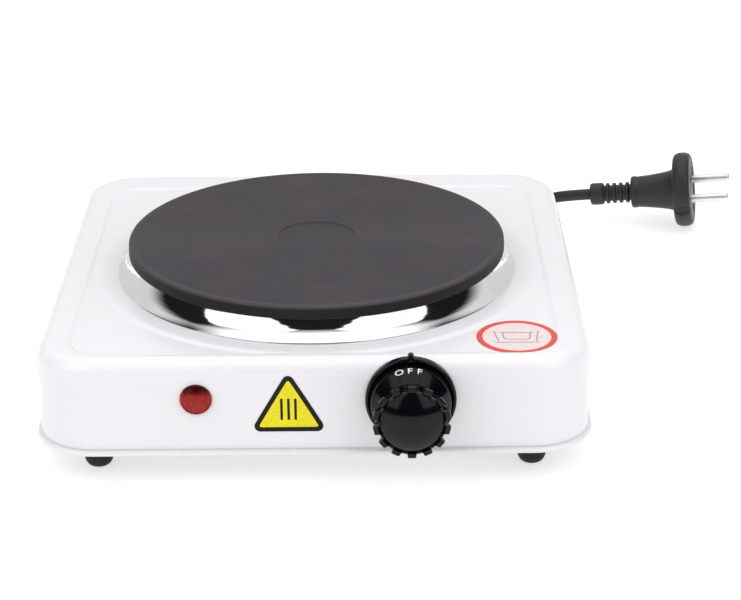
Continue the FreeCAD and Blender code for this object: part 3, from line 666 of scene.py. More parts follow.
# ---------------------------------------------------------------- camera and studio
@dataclass
class Viewpoint:
    """Camera that looks down at the front of the hot plate."""

    aim: Vector = field(default_factory=lambda: Vector((0.02586, 0.0038, 0.041)))
    elevation: float = 0.398
    yaw: float = -0.0002
    roll: float = -0.0085
    distance: float = 1.0649
    focal: float = 105.36
    sensor: float = 36.0

    def make(self) -> bpy.types.Object:
        """Make the scene's camera.

        Returns:
            The camera object.
        """
        level = math.cos(self.elevation)
        back = Vector((math.sin(self.yaw) * level, -math.cos(self.yaw) * level, math.sin(self.elevation)))
        right = Vector((0, 0, 1)).cross(back).normalized()
        above = back.cross(right)
        cosine, sine = math.cos(self.roll), math.sin(self.roll)
        columns = (right * cosine + above * sine, above * cosine - right * sine, back)
        turn = Matrix([[column[row] for column in columns] for row in range(3)]).to_4x4()
        data = bpy.data.cameras.new("camera")
        data.sensor_width = self.sensor
        data.lens = self.focal
        data.clip_start = 0.05
        data.clip_end = 20.0
        camera = bpy.data.objects.new("camera", data)
        camera.matrix_world = Matrix.Translation(self.aim + back * self.distance) @ turn
        bpy.context.scene.collection.objects.link(camera)
        bpy.context.scene.camera = camera
        return camera


@dataclass
class Studio:
    """Pale floor, even white surroundings and two soft lights in front."""

    floor_half: float = 4.0
    light_distance: float = 1.15
    light_azimuth: float = math.radians(47)
    light_height: float = 0.86
    light_width: float = 1.10
    light_tall: float = 1.15
    light_power: float = 4.8

    def build(self) -> None:
        """Set up the floor, the surroundings and the lights."""
        bpy.context.scene.view_settings.view_transform = "Standard"
        self._floor()
        self._surroundings()
        for side in (-1, 1):
            self._soft_light(f"soft_light_{'left' if side < 0 else 'right'}", side * self.light_azimuth)

    def _floor(self) -> None:
        """Lay a wide pale floor that glows a little, so that shadows stay faint."""
        material = bpy.data.materials.new("pale_floor")
        graph = Graph(material)
        tone = graph.blend(graph.noise(3.0).ramp(0.3, 0.7), (0.46, 0.46, 0.46), (0.48, 0.48, 0.48))
        graph.surface({"Base Color": tone, "Roughness": 0.6, "Specular IOR Level": 0.2,
                       "Emission Color": (1.0, 1.0, 1.0, 1.0), "Emission Strength": 0.62})
        half = self.floor_half
        corners = [(-half, -half, 0), (half, -half, 0), (half, half, 0), (-half, half, 0)]
        mesh = bpy.data.meshes.new("floor")
        mesh.from_pydata(corners, [], [(0, 1, 2, 3)])
        mesh.materials.append(material)
        floor = bpy.data.objects.new("floor", mesh)
        bpy.context.scene.collection.objects.link(floor)

    @staticmethod
    def _surroundings() -> None:
        """White surroundings; in reflections they are bright behind and overhead, dark in front."""
        world = bpy.data.worlds.new("surroundings")
        bpy.context.scene.world = world
        graph = Graph(world)
        direction = graph.add("ShaderNodeTexCoord", output="Generated")
        depth = graph.add("ShaderNodeSeparateXYZ", {}, {"Vector": direction}, "Y")
        up = Signal(graph, depth.socket.node.outputs["Z"])
        mirror = depth.ramp(0.2, 0.5, 0.01, 0.75) + up.ramp(0.78, 0.93, 0.0, 1.4)
        sky = 0.36 + up.ramp(-0.05, 1.1, 0.0, 1.1)
        seen = graph.add("ShaderNodeLightPath", output="Is Camera Ray")
        glossy = Signal(graph, seen.socket.node.outputs["Is Glossy Ray"])
        level = seen + (1 - seen) * (glossy * mirror + (1 - glossy) * sky)
        lit = graph.add("ShaderNodeBackground", {}, {"Color": (1.0, 1.0, 1.0, 1.0), "Strength": level})
        graph.add("ShaderNodeOutputWorld", {}, {"Surface": lit})

    def _soft_light(self, name: str, azimuth: float) -> None:
        """Hang a soft light in front, aimed at the plate.

        Args:
            name: The light's name.
            azimuth: Angle from straight ahead of the front wall, to the right.
        """
        data = bpy.data.lights.new(name, "AREA")
        data.shape = "RECTANGLE"
        data.size = self.light_width
        data.size_y = self.light_tall
        data.energy = self.light_power
        light = bpy.data.objects.new(name, data)
        place = Vector((math.sin(azimuth) * self.light_distance, -math.cos(azimuth) * self.light_distance,
                        self.light_height))
        light.matrix_world = Matrix.Translation(place) @ place.to_track_quat("Z", "Y").to_matrix().to_4x4()
        bpy.context.scene.collection.objects.link(light)


# ---------------------------------------------------------------- mains lead and plug
@dataclass
class MainsLead:
    """Flexible lead with its strain relief, its stored coil and its plug."""

    radius: float = 0.0032
    run: tuple[Corner, ...] = ((0.0300, 0.1652, 0.0360), (0.0300, 0.1810, 0.0360), (0.0298, 0.1960, 0.0295),
                               (0.0296, 0.2085, 0.0195), (0.0298, 0.2215, 0.0088), (0.0304, 0.2355, 0.0035))
    tail: tuple[Corner, ...] = ((0.0710, 0.2678, 0.0090), (0.0870, 0.2674, 0.0092), (0.1025, 0.2625, 0.0054),
                                (0.1150, 0.2525, 0.0036), (0.1225, 0.2405, 0.0048), (0.1300, 0.2310, 0.0092),
                                (0.1411, 0.2249, 0.0138), (0.1561, 0.2217, 0.0157))
    coil_centre: Spot = (0.069, 0.232)
    stations: tuple[Corner, ...] = ((0.0, 0.0390, 0.0032), (0.75, 0.0390, 0.0032), (1.0, 0.0326, 0.0032),
                                    (1.75, 0.0326, 0.0032), (2.0, 0.0262, 0.0032), (2.28, 0.0262, 0.0032),
                                    (2.42, 0.0275, 0.0078), (2.60, 0.0318, 0.0097), (2.78, 0.0353, 0.0092),
                                    (3.0, 0.0296, 0.0093), (3.12, 0.0326, 0.0099), (3.25, 0.0358, 0.0093))
    coil_steps: int = 16
    sleeve_length: float = 0.0260
    collar_radius: float = 0.0064
    neck_radius: float = 0.0046
    rib_radius: float = 0.0060
    rib_pitch: float = 0.0038
    relief_end: float = 0.0241
    grip_from: Spot = (0.028, 0.008)
    grip_to: Spot = (0.042, 0.006)
    grip_flat: float = 0.05
    flange_radius: float = 0.0214
    flange_back: float = 0.0494
    flange_front: float = 0.0592
    pin_radius: float = 0.0024
    pin_gap: float = 0.0095
    pin_start: float = 0.0505
    pin_end: float = 0.0806
    notch_radius: float = 0.0032
    notch_out: float = 0.0226
    pin_tilt: float = math.radians(17)

    def coil_point(self, turns: float) -> Vector:
        """Place of the lead's middle after a number of turns of the coil.

        Args:
            turns: Turns from the coil's left side, clockwise seen from above.

        Returns:
            The point, set out a little because the spline runs inside its points.
        """
        for (start, radius_1, z_1), (end, radius_2, z_2) in zip(self.stations, self.stations[1:]):
            if turns <= end:
                break
        share = smoothstep((turns - start) / (end - start))
        radius = (radius_1 + (radius_2 - radius_1) * share) / math.cos(math.pi / self.coil_steps)
        angle = math.pi - TURN * turns
        return Vector((self.coil_centre[0] + radius * math.cos(angle),
                       self.coil_centre[1] + radius * math.sin(angle), z_1 + (z_2 - z_1) * share))

    def lay(self) -> bpy.types.Object:
        """Lay the lead along its run, its coil and its tail.

        Returns:
            The lead.
        """
        turns = self.stations[-1][0]
        count = round(turns * self.coil_steps)
        coil = [self.coil_point(step / self.coil_steps) for step in range(1, count)]
        route = [Vector(point) for point in self.run] + coil + [Vector(point) for point in self.tail]
        curve = bpy.data.curves.new("mains_lead", "CURVE")
        curve.dimensions = "3D"
        spline = curve.splines.new("NURBS")
        spline.points.add(len(route) - 1)
        for point, place in zip(spline.points, route):
            point.co = (*place, 1.0)
        spline.order_u = 3
        spline.use_endpoint_u = True
        spline.resolution_u = 6
        curve.bevel_depth = self.radius
        curve.bevel_resolution = 7
        curve.use_fill_caps = True
        curve.materials.append(CORD_BLACK.material())
        lead = bpy.data.objects.new("mains_lead", curve)
        bpy.context.scene.collection.objects.link(lead)
        return mount(lead, Body.HOUSING, "lead_pvc", "mains_cord_run", "mains_cord_coil", "mains_cord_tail")

    def strain_relief(self) -> bpy.types.Object:
        """Turn the tapered sleeve that guards the lead where it leaves the rear wall.

        Returns:
            The sleeve.
        """
        start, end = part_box("strain_relief")
        wall = end.y - self.sleeve_length
        placing = Matrix.Translation(((start.x + end.x) / 2, wall, (start.z + end.z) / 2)) @ BEHIND
        bore = self.radius + 0.0001
        corners: list[Corner] = [(bore, -0.008), (0.0066, -0.008, 0.0006), (0.0066, -0.0016, 0.0004),
                                 (0.0054, -0.0016), (0.0054, 0.0, 0.0), (0.0074, 0.0, 0.0005),
                                 (0.0074, 0.0017, 0.0007), (0.0061, 0.0028, 0.0012)]
        for rib in range(5):
            foot = 0.0048 + rib * 0.0038
            size = 0.0059 - rib * 0.00033
            corners += [(size - 0.0011, foot, 0.0004), (size, foot + 0.0005, 0.0004),
                        (size - 0.0001, foot + 0.0022, 0.0004), (size - 0.0012, foot + 0.0027, 0.0004)]
        corners += [(0.0043, self.sleeve_length - 0.0012, 0.0004), (0.0041, self.sleeve_length, 0.0006),
                    (bore, self.sleeve_length)]
        relief = turned_piece("lead_strain_relief", corners, placing, CORD_BLACK, 96, closed=True)
        return mount(relief, Body.HOUSING, "lead_pvc", "strain_relief")

    def plug_placing(self) -> Matrix:
        """Work out where the plug is from the lead's end.

        Returns:
            Its place: origin at the lead's end, Z ahead and X along the line of its pins.
        """
        end = Vector(self.tail[-1])
        ahead = (end - Vector(self.tail[-2])).normalized()
        level = ahead.cross(Vector((0, 0, 1))).normalized()
        pin_line = Matrix.Rotation(self.pin_tilt, 3, ahead) @ level
        across = ahead.cross(pin_line)
        rows = [[axis[row] for axis in (pin_line, across, ahead)] for row in range(3)]
        return Matrix.Translation(end) @ Matrix(rows).to_4x4()

    def plug_relief(self, placing: Matrix) -> bpy.types.Object:
        """Turn the collar and the ribbed neck behind the plug.

        Args:
            placing: Where the plug is.

        Returns:
            The neck.
        """
        corners: list[Corner] = [(0.0, 0.0), (0.0058, 0.0, 0.0008), (self.collar_radius, 0.0010, 0.0010),
                                 (self.collar_radius, 0.0068, 0.0010), (0.0057, 0.0078, 0.0008),
                                 (self.neck_radius, 0.0079, 0.0003)]
        for rib in range(4):
            foot = 0.0090 + rib * self.rib_pitch
            corners += [(self.neck_radius, foot, 0.0003), (self.rib_radius, foot + 0.0004, 0.0005),
                        (self.rib_radius, foot + 0.0020, 0.0005), (self.neck_radius, foot + 0.0024, 0.0003)]
        corners += [(self.neck_radius, self.relief_end), (0.0, self.relief_end)]
        return turned_piece("plug_neck", corners, placing, PLUG_BLACK, 96)

    def _body_radius(self, angle: float, radius: float, height: float) -> float:
        """Radius of the plug's body: a flattened grip, then a flange notched on both sides.

        Args:
            angle: Place round the plug, from the line of its pins.
            radius: Radius without grip or notches.
            height: Distance ahead of the lead's end.

        Returns:
            The radius there.
        """
        if height < self.flange_back - 0.0004:
            (start, grow), (end, fade) = self.grip_from, self.grip_to
            grip = smoothstep((height - start) / grow) * (1 - smoothstep((height - end) / fade))
            return radius * (1 - self.grip_flat * grip * math.sin(angle) ** 2)
        if radius < 0.6 * self.flange_radius:
            return radius
        offset = abs(math.cos(angle)) * self.notch_out
        aside = abs(math.sin(angle)) * self.notch_out
        if aside >= self.notch_radius or radius < offset - self.notch_radius:
            return radius
        return min(radius, offset - math.sqrt(self.notch_radius ** 2 - aside ** 2))

    def plug_body(self, placing: Matrix) -> bpy.types.Object:
        """Turn the moulded grip that swells to the plug's round flange.

        Args:
            placing: Where the plug is.

        Returns:
            The plug's body.
        """
        back, front = self.flange_back, self.flange_front
        reach = self.flange_radius
        corners: list[Corner] = [(0.0, self.relief_end), (0.0090, self.relief_end, 0.0010),
                                 (0.0093, self.relief_end + 0.0020, 0.0012),
                                 (0.0089, self.relief_end + 0.0036, 0.0020)]
        corners += [(0.0089 + 0.0024 * share, 0.0277 + 0.0183 * share, 0.004) for share in (0.35, 0.7, 1.0)]
        corners += [(0.0122, back - 0.0004, 0.0012), (reach - 0.0012, back, 0.0024),
                    (reach, back + 0.0030, 0.0040), (reach, front - 0.0030, 0.0040),
                    (reach - 0.0012, front, 0.0024), (reach * 0.62, front, 0.0006),
                    (reach * 0.61, front - 0.0005, 0.0004), (0.0, front - 0.0005)]
        return turned_piece("plug_grip", corners, placing, PLUG_BLACK, 288, crease=38,
                            shape=self._body_radius)

    def plug_pins(self, placing: Matrix) -> bpy.types.Object:
        """Turn the two round contact pins, as one piece.

        Args:
            placing: Where the plug is.

        Returns:
            The pins.
        """
        corners: list[Corner] = [(0.0, self.pin_start), (self.pin_radius, self.pin_start),
                                 (self.pin_radius, self.pin_end - 0.0012, 0.003),
                                 (self.pin_radius * 0.75, self.pin_end - 0.0003, 0.0008), (0.0, self.pin_end)]
        points: list[Vector] = []
        faces: list[list[int]] = []
        for side in (-1, 1):
            here = placing @ Matrix.Translation((side * self.pin_gap, 0, 0))
            more, loops = turned_mesh(softened(corners), here, 48, False)
            faces += [[index + len(points) for index in face] for face in loops]
            points += more
        return mesh_piece("contact_pins", points, faces, [NICKEL])

    def build(self) -> None:
        """Build the lead with everything on it."""
        lead = self.lay()
        relief = self.strain_relief()
        placing = self.plug_placing()
        neck = mount(self.plug_relief(placing), Body.HOUSING, "lead_pvc", "plug_relief")
        grip = mount(self.plug_body(placing), Body.HOUSING, "lead_pvc", "plug_body")
        pins = mount(self.plug_pins(placing), Body.HOUSING, "plug_pin_metal", "plug_pins")


# ---------------------------------------------------------------- housing
@dataclass
class Housing:
    """Pressed and enamelled steel housing: square with round corners, its top sunk about the burner."""

    lip_flare: float = 0.0016
    edge_round: float = 0.0075
    corner: float = 0.027
    skin: float = 0.0008
    hollow: float = 0.0007
    hollow_low: float = 0.0180
    opening: float = 0.088
    plateau: float = 0.1084
    field_half: Spot = (0.111, 0.110)
    field_shift: float = 0.003
    field_corner: float = 0.018
    step_width: float = 0.0040
    edge_step: float = 0.0024
    side_steps: int = 90
    corner_steps: int = 14
    wall_steps: int = 14
    edge_steps: int = 10
    spindle_hole: float = 0.0055
    lamp_hole: float = 0.0063
    peg_hole: float = 0.0017
    peg_offset: float = 0.014
    lead_hole: float = 0.0056
    cut_depth: float = 0.003
    vents: int = 3
    vent_left: float = -0.060
    vent_pitch: float = 0.020
    vent_length: float = 0.012
    vent_heights: Spot = (0.044, 0.047)
    vent_bend: float = 0.00149
    centre: Vector = field(init=False)
    half: float = field(init=False)
    top: float = field(init=False)
    bottom: float = field(init=False)
    burner: Vector = field(init=False)
    field_depth: float = field(init=False)

    def __post_init__(self) -> None:
        """Read the housing's place and size from the frame."""
        low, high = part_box("housing_shell")
        self.centre = (low + high) / 2
        self.half = (high.x - low.x) / 2 - self.lip_flare
        self.top = high.z
        self.bottom = low.z
        self.burner = middle("cooking_plate")
        self.field_depth = high.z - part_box("round_label")[0].z

    @property
    def front(self) -> float:
        """Y of the front wall's plane."""
        return self.centre.y - self.half

    @property
    def rear(self) -> float:
        """Y of the rear wall's plane."""
        return self.centre.y + self.half

    def wall_hollow(self, height: float) -> float:
        """Depth by which the wall curves in at a height, in metres."""
        share = (height - self.hollow_low) / (self.top - self.edge_round - self.hollow_low)
        return self.hollow * math.sin(math.pi * share) if 0 < share < 1 else 0.0

    def square(self, inset: float, height: float) -> list[Vector]:
        """Ring of the housing's outline, set in and at a height.

        Args:
            inset: Distance in from the wall's plane.
            height: Height of the ring.

        Returns:
            Points anticlockwise, the same number at each inset.
        """
        half = self.half - inset
        bend = self.corner - inset
        flat = half - bend
        ring = []
        for quarter in range(4):
            turn = Matrix.Rotation(quarter * TURN / 4, 2)
            for step in range(self.side_steps):
                side = Vector((half, flat * (2 * step / self.side_steps - 1)))
                ring.append(turn @ side)
            for step in range(self.corner_steps):
                angle = TURN / 4 * step / self.corner_steps
                ring.append(turn @ Vector((flat + bend * math.cos(angle), flat + bend * math.sin(angle))))
        return [Vector((self.centre.x + spot.x, self.centre.y + spot.y, height)) for spot in ring]

    def _in_field(self, x: float, y: float) -> float:
        """Measure how far a spot is inside the sunken square.

        Args:
            x: The spot's X.
            y: The spot's Y.

        Returns:
            Distance in from the square's edge, less than 0 outside it.
        """
        reach_x = abs(x - self.burner.x) - (self.field_half[0] - self.field_corner)
        reach_y = abs(y - self.burner.y - self.field_shift) - (self.field_half[1] - self.field_corner)
        outside = math.hypot(max(reach_x, 0.0), max(reach_y, 0.0))
        return self.field_corner - outside - min(max(reach_x, reach_y), 0.0)

    def top_height(self, x: float, y: float) -> float:
        """Work out the height of the top's outer face at a spot.

        Args:
            x: The spot's X.
            y: The spot's Y.

        Returns:
            The height there.
        """
        past_plateau = math.hypot(x - self.burner.x, y - self.burner.y) - self.plateau + self.step_width
        sunk = smoothstep(self._in_field(x, y) / self.edge_step) * smoothstep(past_plateau / self.step_width)
        return self.top - self.field_depth * sunk

    def _spokes(self) -> list[list[Spot]]:
        """Divide the top into spokes, with more steps where it is pressed.

        Returns:
            Spots along each spoke, from the top's edge in to the burner's opening.
        """
        edge = self.square(self.edge_round, self.top)
        spans = (6, 8, 5, 9, 12)
        least = 0.0005 * 6
        spokes = []
        for point in edge:
            out = Vector((point.x - self.burner.x, point.y - self.burner.y))
            length = out.length
            out.normalize()
            low, high = self.opening, length
            for _ in range(30):
                guess = (low + high) / 2
                inside = self._in_field(self.burner.x + out.x * guess, self.burner.y + out.y * guess) > 0
                low, high = (guess, high) if inside else (low, guess)
            outer, inner = max(low, self.plateau), min(low, self.plateau)
            stops = [outer + 0.0008, outer - self.edge_step - 0.0004,
                     inner + 0.0004, inner - self.step_width - 0.0008]
            knots = [length]
            for stop in stops:
                knots.append(min(stop, knots[-1] - least))
            knots.append(self.opening)
            spots = []
            for count, start, end in zip(spans, knots, knots[1:]):
                spots += [start + (end - start) * step / count for step in range(count)]
            spots.append(self.opening)
            spokes.append([(self.burner.x + out.x * reach, self.burner.y + out.y * reach) for reach in spots])
        return spokes

    def _wall(self, skin: float) -> list[list[Vector]]:
        """Rings of the wall and its round top edge, from above the lip to the top's edge.

        Args:
            skin: Distance in from the outer face.

        Returns:
            Rings from low to high.
        """
        low = self.hollow_low
        high = self.top - self.edge_round
        rings = []
        for step in range(self.wall_steps + 1):
            height = low + (high - low) * step / self.wall_steps
            rings.append(self.square(skin + self.wall_hollow(height), height))
        bend = self.edge_round - skin
        for step in range(1, self.edge_steps + 1):
            angle = TURN / 4 * step / self.edge_steps
            rings.append(self.square(skin + bend * (1 - math.cos(angle)), high + bend * math.sin(angle)))
        return rings

    def _holes(self) -> list[bpy.types.Object]:
        """Make the cutters for the spindle, the lamp, the bezel's pegs, the lead and the vents.

        Returns:
            Closed solids, clear of each other.
        """
        knob, lamp, lead = middle("thermostat_spindle"), middle("lamp_lens"), middle("lead_inner_end")
        round_holes = [(knob.x, self.front, knob.z, self.spindle_hole),
                       (lamp.x, self.front, lamp.z, self.lamp_hole)]
        for side in (-1, 1):
            round_holes.append((knob.x + side * self.peg_offset, self.front, knob.z, self.peg_hole))
        round_holes.append((lead.x, self.rear, lead.z, self.lead_hole))
        depth = self.cut_depth
        cutters = []
        for x, y, z, radius in round_holes:
            corners = [(0.0, -depth), (radius, -depth), (radius, depth), (0.0, depth)]
            placing = Matrix.Translation((x, y, z)) @ AHEAD
            cutters.append(turned_piece("cutter", corners, placing, ENAMEL, 48))
        low, high = self.vent_heights
        bend = self.vent_bend
        for number in range(self.vents):
            left = self.vent_left + self.vent_pitch * number
            right = left + self.vent_length
            corners = [(left, low, bend), (right, low, bend), (right, high, bend), (left, high, bend)]
            outline = softened(corners, True)
            sides = [[Vector((x, self.rear + away, z)) for x, z in outline] for away in (-depth, depth)]
            points, faces = loft(sides, False)
            count = len(outline)
            faces += [list(range(count)), list(range(count, 2 * count))]
            cutters.append(mesh_piece("cutter", points, faces, [ENAMEL]))
        return cutters

    def build(self) -> None:
        """Build the shell as one closed skin and cut its holes."""
        low, skin = self.bottom, self.skin
        flare = -self.lip_flare
        lip = [(skin, low), (flare + 0.0003, low), (flare, low + 0.0003), (flare, low + 0.0014),
               (flare + 0.0003, low + 0.0018), (-0.0004, low + 0.0019), (0.0004, low + 0.0021),
               (0.0005, low + 0.0024), (0.0001, low + 0.0028)]
        rings = [self.square(inset, height) for inset, height in lip] + self._wall(0.0)
        spokes = self._spokes()
        for index in range(1, len(spokes[0])):
            rings.append([Vector((*spoke[index], self.top_height(*spoke[index]))) for spoke in spokes])
        for index in range(len(spokes[0]) - 1, 0, -1):
            rings.append([Vector((*spoke[index], self.top_height(*spoke[index]) - skin)) for spoke in spokes])
        rings += reversed(self._wall(skin))
        points, faces = loft(rings, True)
        shell = mesh_piece("housing_skin", points, faces, [ENAMEL])
        drill(shell, self._holes(), 32.0)
        mount(shell, Body.HOUSING, "white_enamel", "housing_shell")


# ---------------------------------------------------------------- burner
@dataclass
class Burner:
    """Cast cooking plate with turned rings, and the polished ring under its rim."""

    recess: float = 0.019
    recess_depth: float = 0.0007
    pitch: float = 0.0015
    groove: float = 0.0003
    flange: float = 0.006
    body_radius: float = 0.084
    channel_radius: float = 0.078
    hub_radius: float = 0.024
    channel_depth: float = 0.0057
    ring_skin: float = 0.0006

    def plate(self) -> bpy.types.Object:
        """Turn the cooking plate: a recessed middle, fine grooves and a hollow underside.

        Returns:
            The plate.
        """
        low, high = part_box("cooking_plate")
        centre = (low + high) / 2
        rim = (high.x - low.x) / 2
        top, foot = high.z, low.z
        corners: list[Corner] = [(0.0, top - self.recess_depth),
                                 (self.recess - 0.0006, top - self.recess_depth, 0.0003),
                                 (self.recess + 0.0001, top, 0.0002)]
        first = self.recess + 0.0014
        count = int((rim - 0.0022 - first) / self.pitch)
        for step in range(count):
            ring = first + step * self.pitch
            corners += [(ring - 0.3 * self.pitch, top), (ring - 0.14 * self.pitch, top - 0.75 * self.groove),
                        (ring, top - self.groove), (ring + 0.14 * self.pitch, top - 0.75 * self.groove),
                        (ring + 0.3 * self.pitch, top)]
        under = top - self.flange
        corners += [(rim - 0.0002, top, 0.0011), (rim, top - 0.003), (rim, under, 0.0008),
                    (self.body_radius, under, 0.0006), (self.body_radius, foot, 0.0006),
                    (self.channel_radius, foot, 0.0004), (self.channel_radius, foot + self.channel_depth),
                    (self.hub_radius, foot + self.channel_depth), (self.hub_radius, foot, 0.0004),
                    (0.0, foot)]
        placing = Matrix.Translation((centre.x, centre.y, 0))
        return turned_piece("plate_casting", corners, placing, PLATE_COAT, 288, crease=50)

    def ring(self) -> bpy.types.Object:
        """Turn the polished ring: a cove that slopes up from its foot to the plate's underside.

        Returns:
            The ring.
        """
        low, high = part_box("trim_ring")
        centre = (low + high) / 2
        outer = (high.x - low.x) / 2
        foot, top = low.z, high.z
        skin = self.ring_skin
        cove = [(0.0950, 0.0015), (0.0935, 0.0024), (0.0921, 0.0036), (0.0909, 0.0050), (0.0899, 0.0065),
                (0.0890, 0.0082), (0.0887, 0.0090)]
        corners: list[Corner] = [(outer, foot), (outer - 0.0001, foot + 0.0006, 0.0006)]
        corners += [(radius, foot + height, 0.006) for radius, height in cove]
        corners += [(0.0885, top), (0.0846, top), (0.0846, top - skin), (0.0878, top - skin)]
        corners += [(radius - skin, foot + height - skin, 0.006) for radius, height in reversed(cove)]
        corners += [(outer - 0.0009, foot)]
        placing = Matrix.Translation((centre.x, centre.y, 0))
        return turned_piece("polished_ring", corners, placing, CHROME, 320, closed=True, crease=60)

    def build(self) -> None:
        """Build the plate and its ring."""
        mount(self.plate(), Body.HOUSING, "cast_iron", "cooking_plate")
        mount(self.ring(), Body.HOUSING, "polished_steel", "trim_ring")


# ---------------------------------------------------------------- knob
@dataclass
class Knob:
    """Bezel on the wall and the turning knob: dial with its OFF mark, fluted grip and domed cap."""

    bezel_radius: float = 0.0202
    bezel_depth: float = 0.0032
    nub_half: float = 0.0015
    nub_rise: float = 0.0018
    flutes: int = 14
    flute_depth: float = 0.0025
    flute_share: float = 0.44
    edge_share: float = 0.11
    bore: float = 0.00305
    shoulder: tuple[Spot, Spot] = ((0.0174, 0.0080), (0.0130, 0.0134))
    letter_height: float = 0.0025
    letter_width: float = 1.5
    letter_along: float = 0.0005
    letters: tuple[tuple[str, float], ...] = (("O", -17.9), ("F", -1.7), ("F", 12.6))
    placing: Matrix = field(init=False)

    def __post_init__(self) -> None:
        """Read the knob's axis and the wall's plane from the frame."""
        joint = next(row for row in frame["joints"] if row["name"] == "knob_turn")
        self.placing = Matrix.Translation(joint["pos_m"]) @ AHEAD

    def bezel(self) -> bpy.types.Object:
        """Turn the fixed ring round the dial, with a nub at the top that the marks are set against.

        Returns:
            The bezel.
        """
        reach, depth = self.bezel_radius, self.bezel_depth
        corners: list[Corner] = [(0.0056, -0.0007), (reach, -0.0007, 0.0004), (reach, depth - 0.0006, 0.0006),
                                 (reach - 0.0009, depth, 0.0006), (reach - 0.0018, depth - 0.0004, 0.0005),
                                 (reach - 0.0021, 0.0012, 0.0003), (0.0056, 0.0012)]

        def bulge(angle: float, radius: float, height: float) -> float:
            """Let the nub swell out at the top.

            Args:
                angle: Place round the bezel.
                radius: Radius without the nub.
                height: Distance ahead of the wall, which changes nothing.

            Returns:
                The radius there.
            """
            away = abs((angle - TURN / 4 + math.pi) % TURN - math.pi) * reach / self.nub_half
            swell = self.nub_rise * math.sqrt(max(0.0, 1 - away * away))
            return radius + swell if radius > reach - 0.0005 else radius

        return turned_piece("knob_bezel", corners, self.placing, KNOB_BLACK, 480, closed=True, shape=bulge)

    def pointer(self) -> bpy.types.Object:
        """Make the small raised arrow on the bezel under the nub.

        Returns:
            The arrow.
        """
        outline = [(-0.0013, 0.0183), (0.0013, 0.0183), (0.0, 0.0201)]
        rings = []
        for inset, height in ((0.0, 0.0024), (0.0, 0.0033), (0.0003, 0.0035)):
            centre = Vector((0.0, 0.0189))
            spots = [Vector(spot) + (centre - Vector(spot)).normalized() * inset for spot in softened(
                [(*spot, 0.0003) for spot in outline], True)]
            rings.append([self.placing @ Vector((spot.x, spot.y, height)) for spot in spots])
        points, faces = loft(rings, False)
        count = len(rings[0])
        faces += [list(range(count)), list(range(2 * count, 3 * count))]
        return mesh_piece("bezel_pointer", points, faces, [KNOB_BLACK])

    def dial(self) -> bpy.types.Object:
        """Turn the skirt of the knob, with a sloping shoulder that carries the mark.

        Returns:
            The skirt.
        """
        outer, inner = self.shoulder
        corners: list[Corner] = [(self.bore, 0.0016), (0.0170, 0.0016, 0.0004), (0.0175, 0.0023, 0.0006),
                                 (0.0178, 0.0072, 0.0005), (*outer, 0.0006), inner, (self.bore, inner[1])]
        return turned_piece("knob_skirt", corners, self.placing, KNOB_BLACK, 192, closed=True)

    def _fluted(self, angle: float, radius: float, height: float) -> float:
        """Cut the grip into flat-topped teeth between round-bottomed flutes.

        Args:
            angle: Place round the knob.
            radius: Radius over the teeth.
            height: Distance ahead of the wall.

        Returns:
            The radius there.
        """
        share = (angle / TURN * self.flutes + 0.5) % 1.0
        away = abs(share - 0.5)
        gap = self.flute_share / 2
        groove = 1 - smoothstep((away - gap + self.edge_share / 2) / self.edge_share)
        start = self.shoulder[1][1]
        short = smoothstep((height - start + 0.0005) / 0.0012)
        long = smoothstep((height - start) / 0.0100)
        on_teeth = radius > 0.0149 or (height < 0.0205 and radius > 0.0129)
        return radius - self.flute_depth * groove * (0.35 * short + 0.65 * long) if on_teeth else radius

    def grip(self) -> bpy.types.Object:
        """Turn the fluted grip that flares towards the front.

        Returns:
            The grip.
        """
        root, start = self.shoulder[1]
        corners: list[Corner] = [(self.bore, start), (root, start)]
        for step in range(1, 9):
            share = step / 9
            corners.append((root + 0.0040 * share ** 1.3, start + 0.0100 * share, 0.003))
        corners += [(0.0171, 0.0236, 0.002), (0.0171, 0.0252, 0.0007), (0.0165, 0.0259, 0.0005),
                    (0.0148, 0.0259), (0.0139, 0.0220), (self.bore, 0.0220)]
        return turned_piece("knob_flutes", corners, self.placing, KNOB_BLACK, self.flutes * 26, closed=True,
                            crease=40, shape=self._fluted)

    def cap(self) -> bpy.types.Object:
        """Turn the domed cap that closes the knob's front.

        Returns:
            The cap.
        """
        front, edge, rise = 0.0300, 0.0144, 0.0050
        sphere = (edge ** 2 + rise ** 2) / (2 * rise)
        corners: list[Corner] = [(0.0, 0.0220), (0.0137, 0.0220),
                                 (edge - 0.0002, front - rise - 0.0006, 0.0003), (edge, front - rise, 0.0008)]
        for step in range(1, 13):
            reach = 0.98 * edge * (1 - step / 12)
            corners.append((reach, front - sphere + math.sqrt(sphere ** 2 - reach ** 2)))
        return turned_piece("knob_dome", corners, self.placing, KNOB_BLACK, 192)

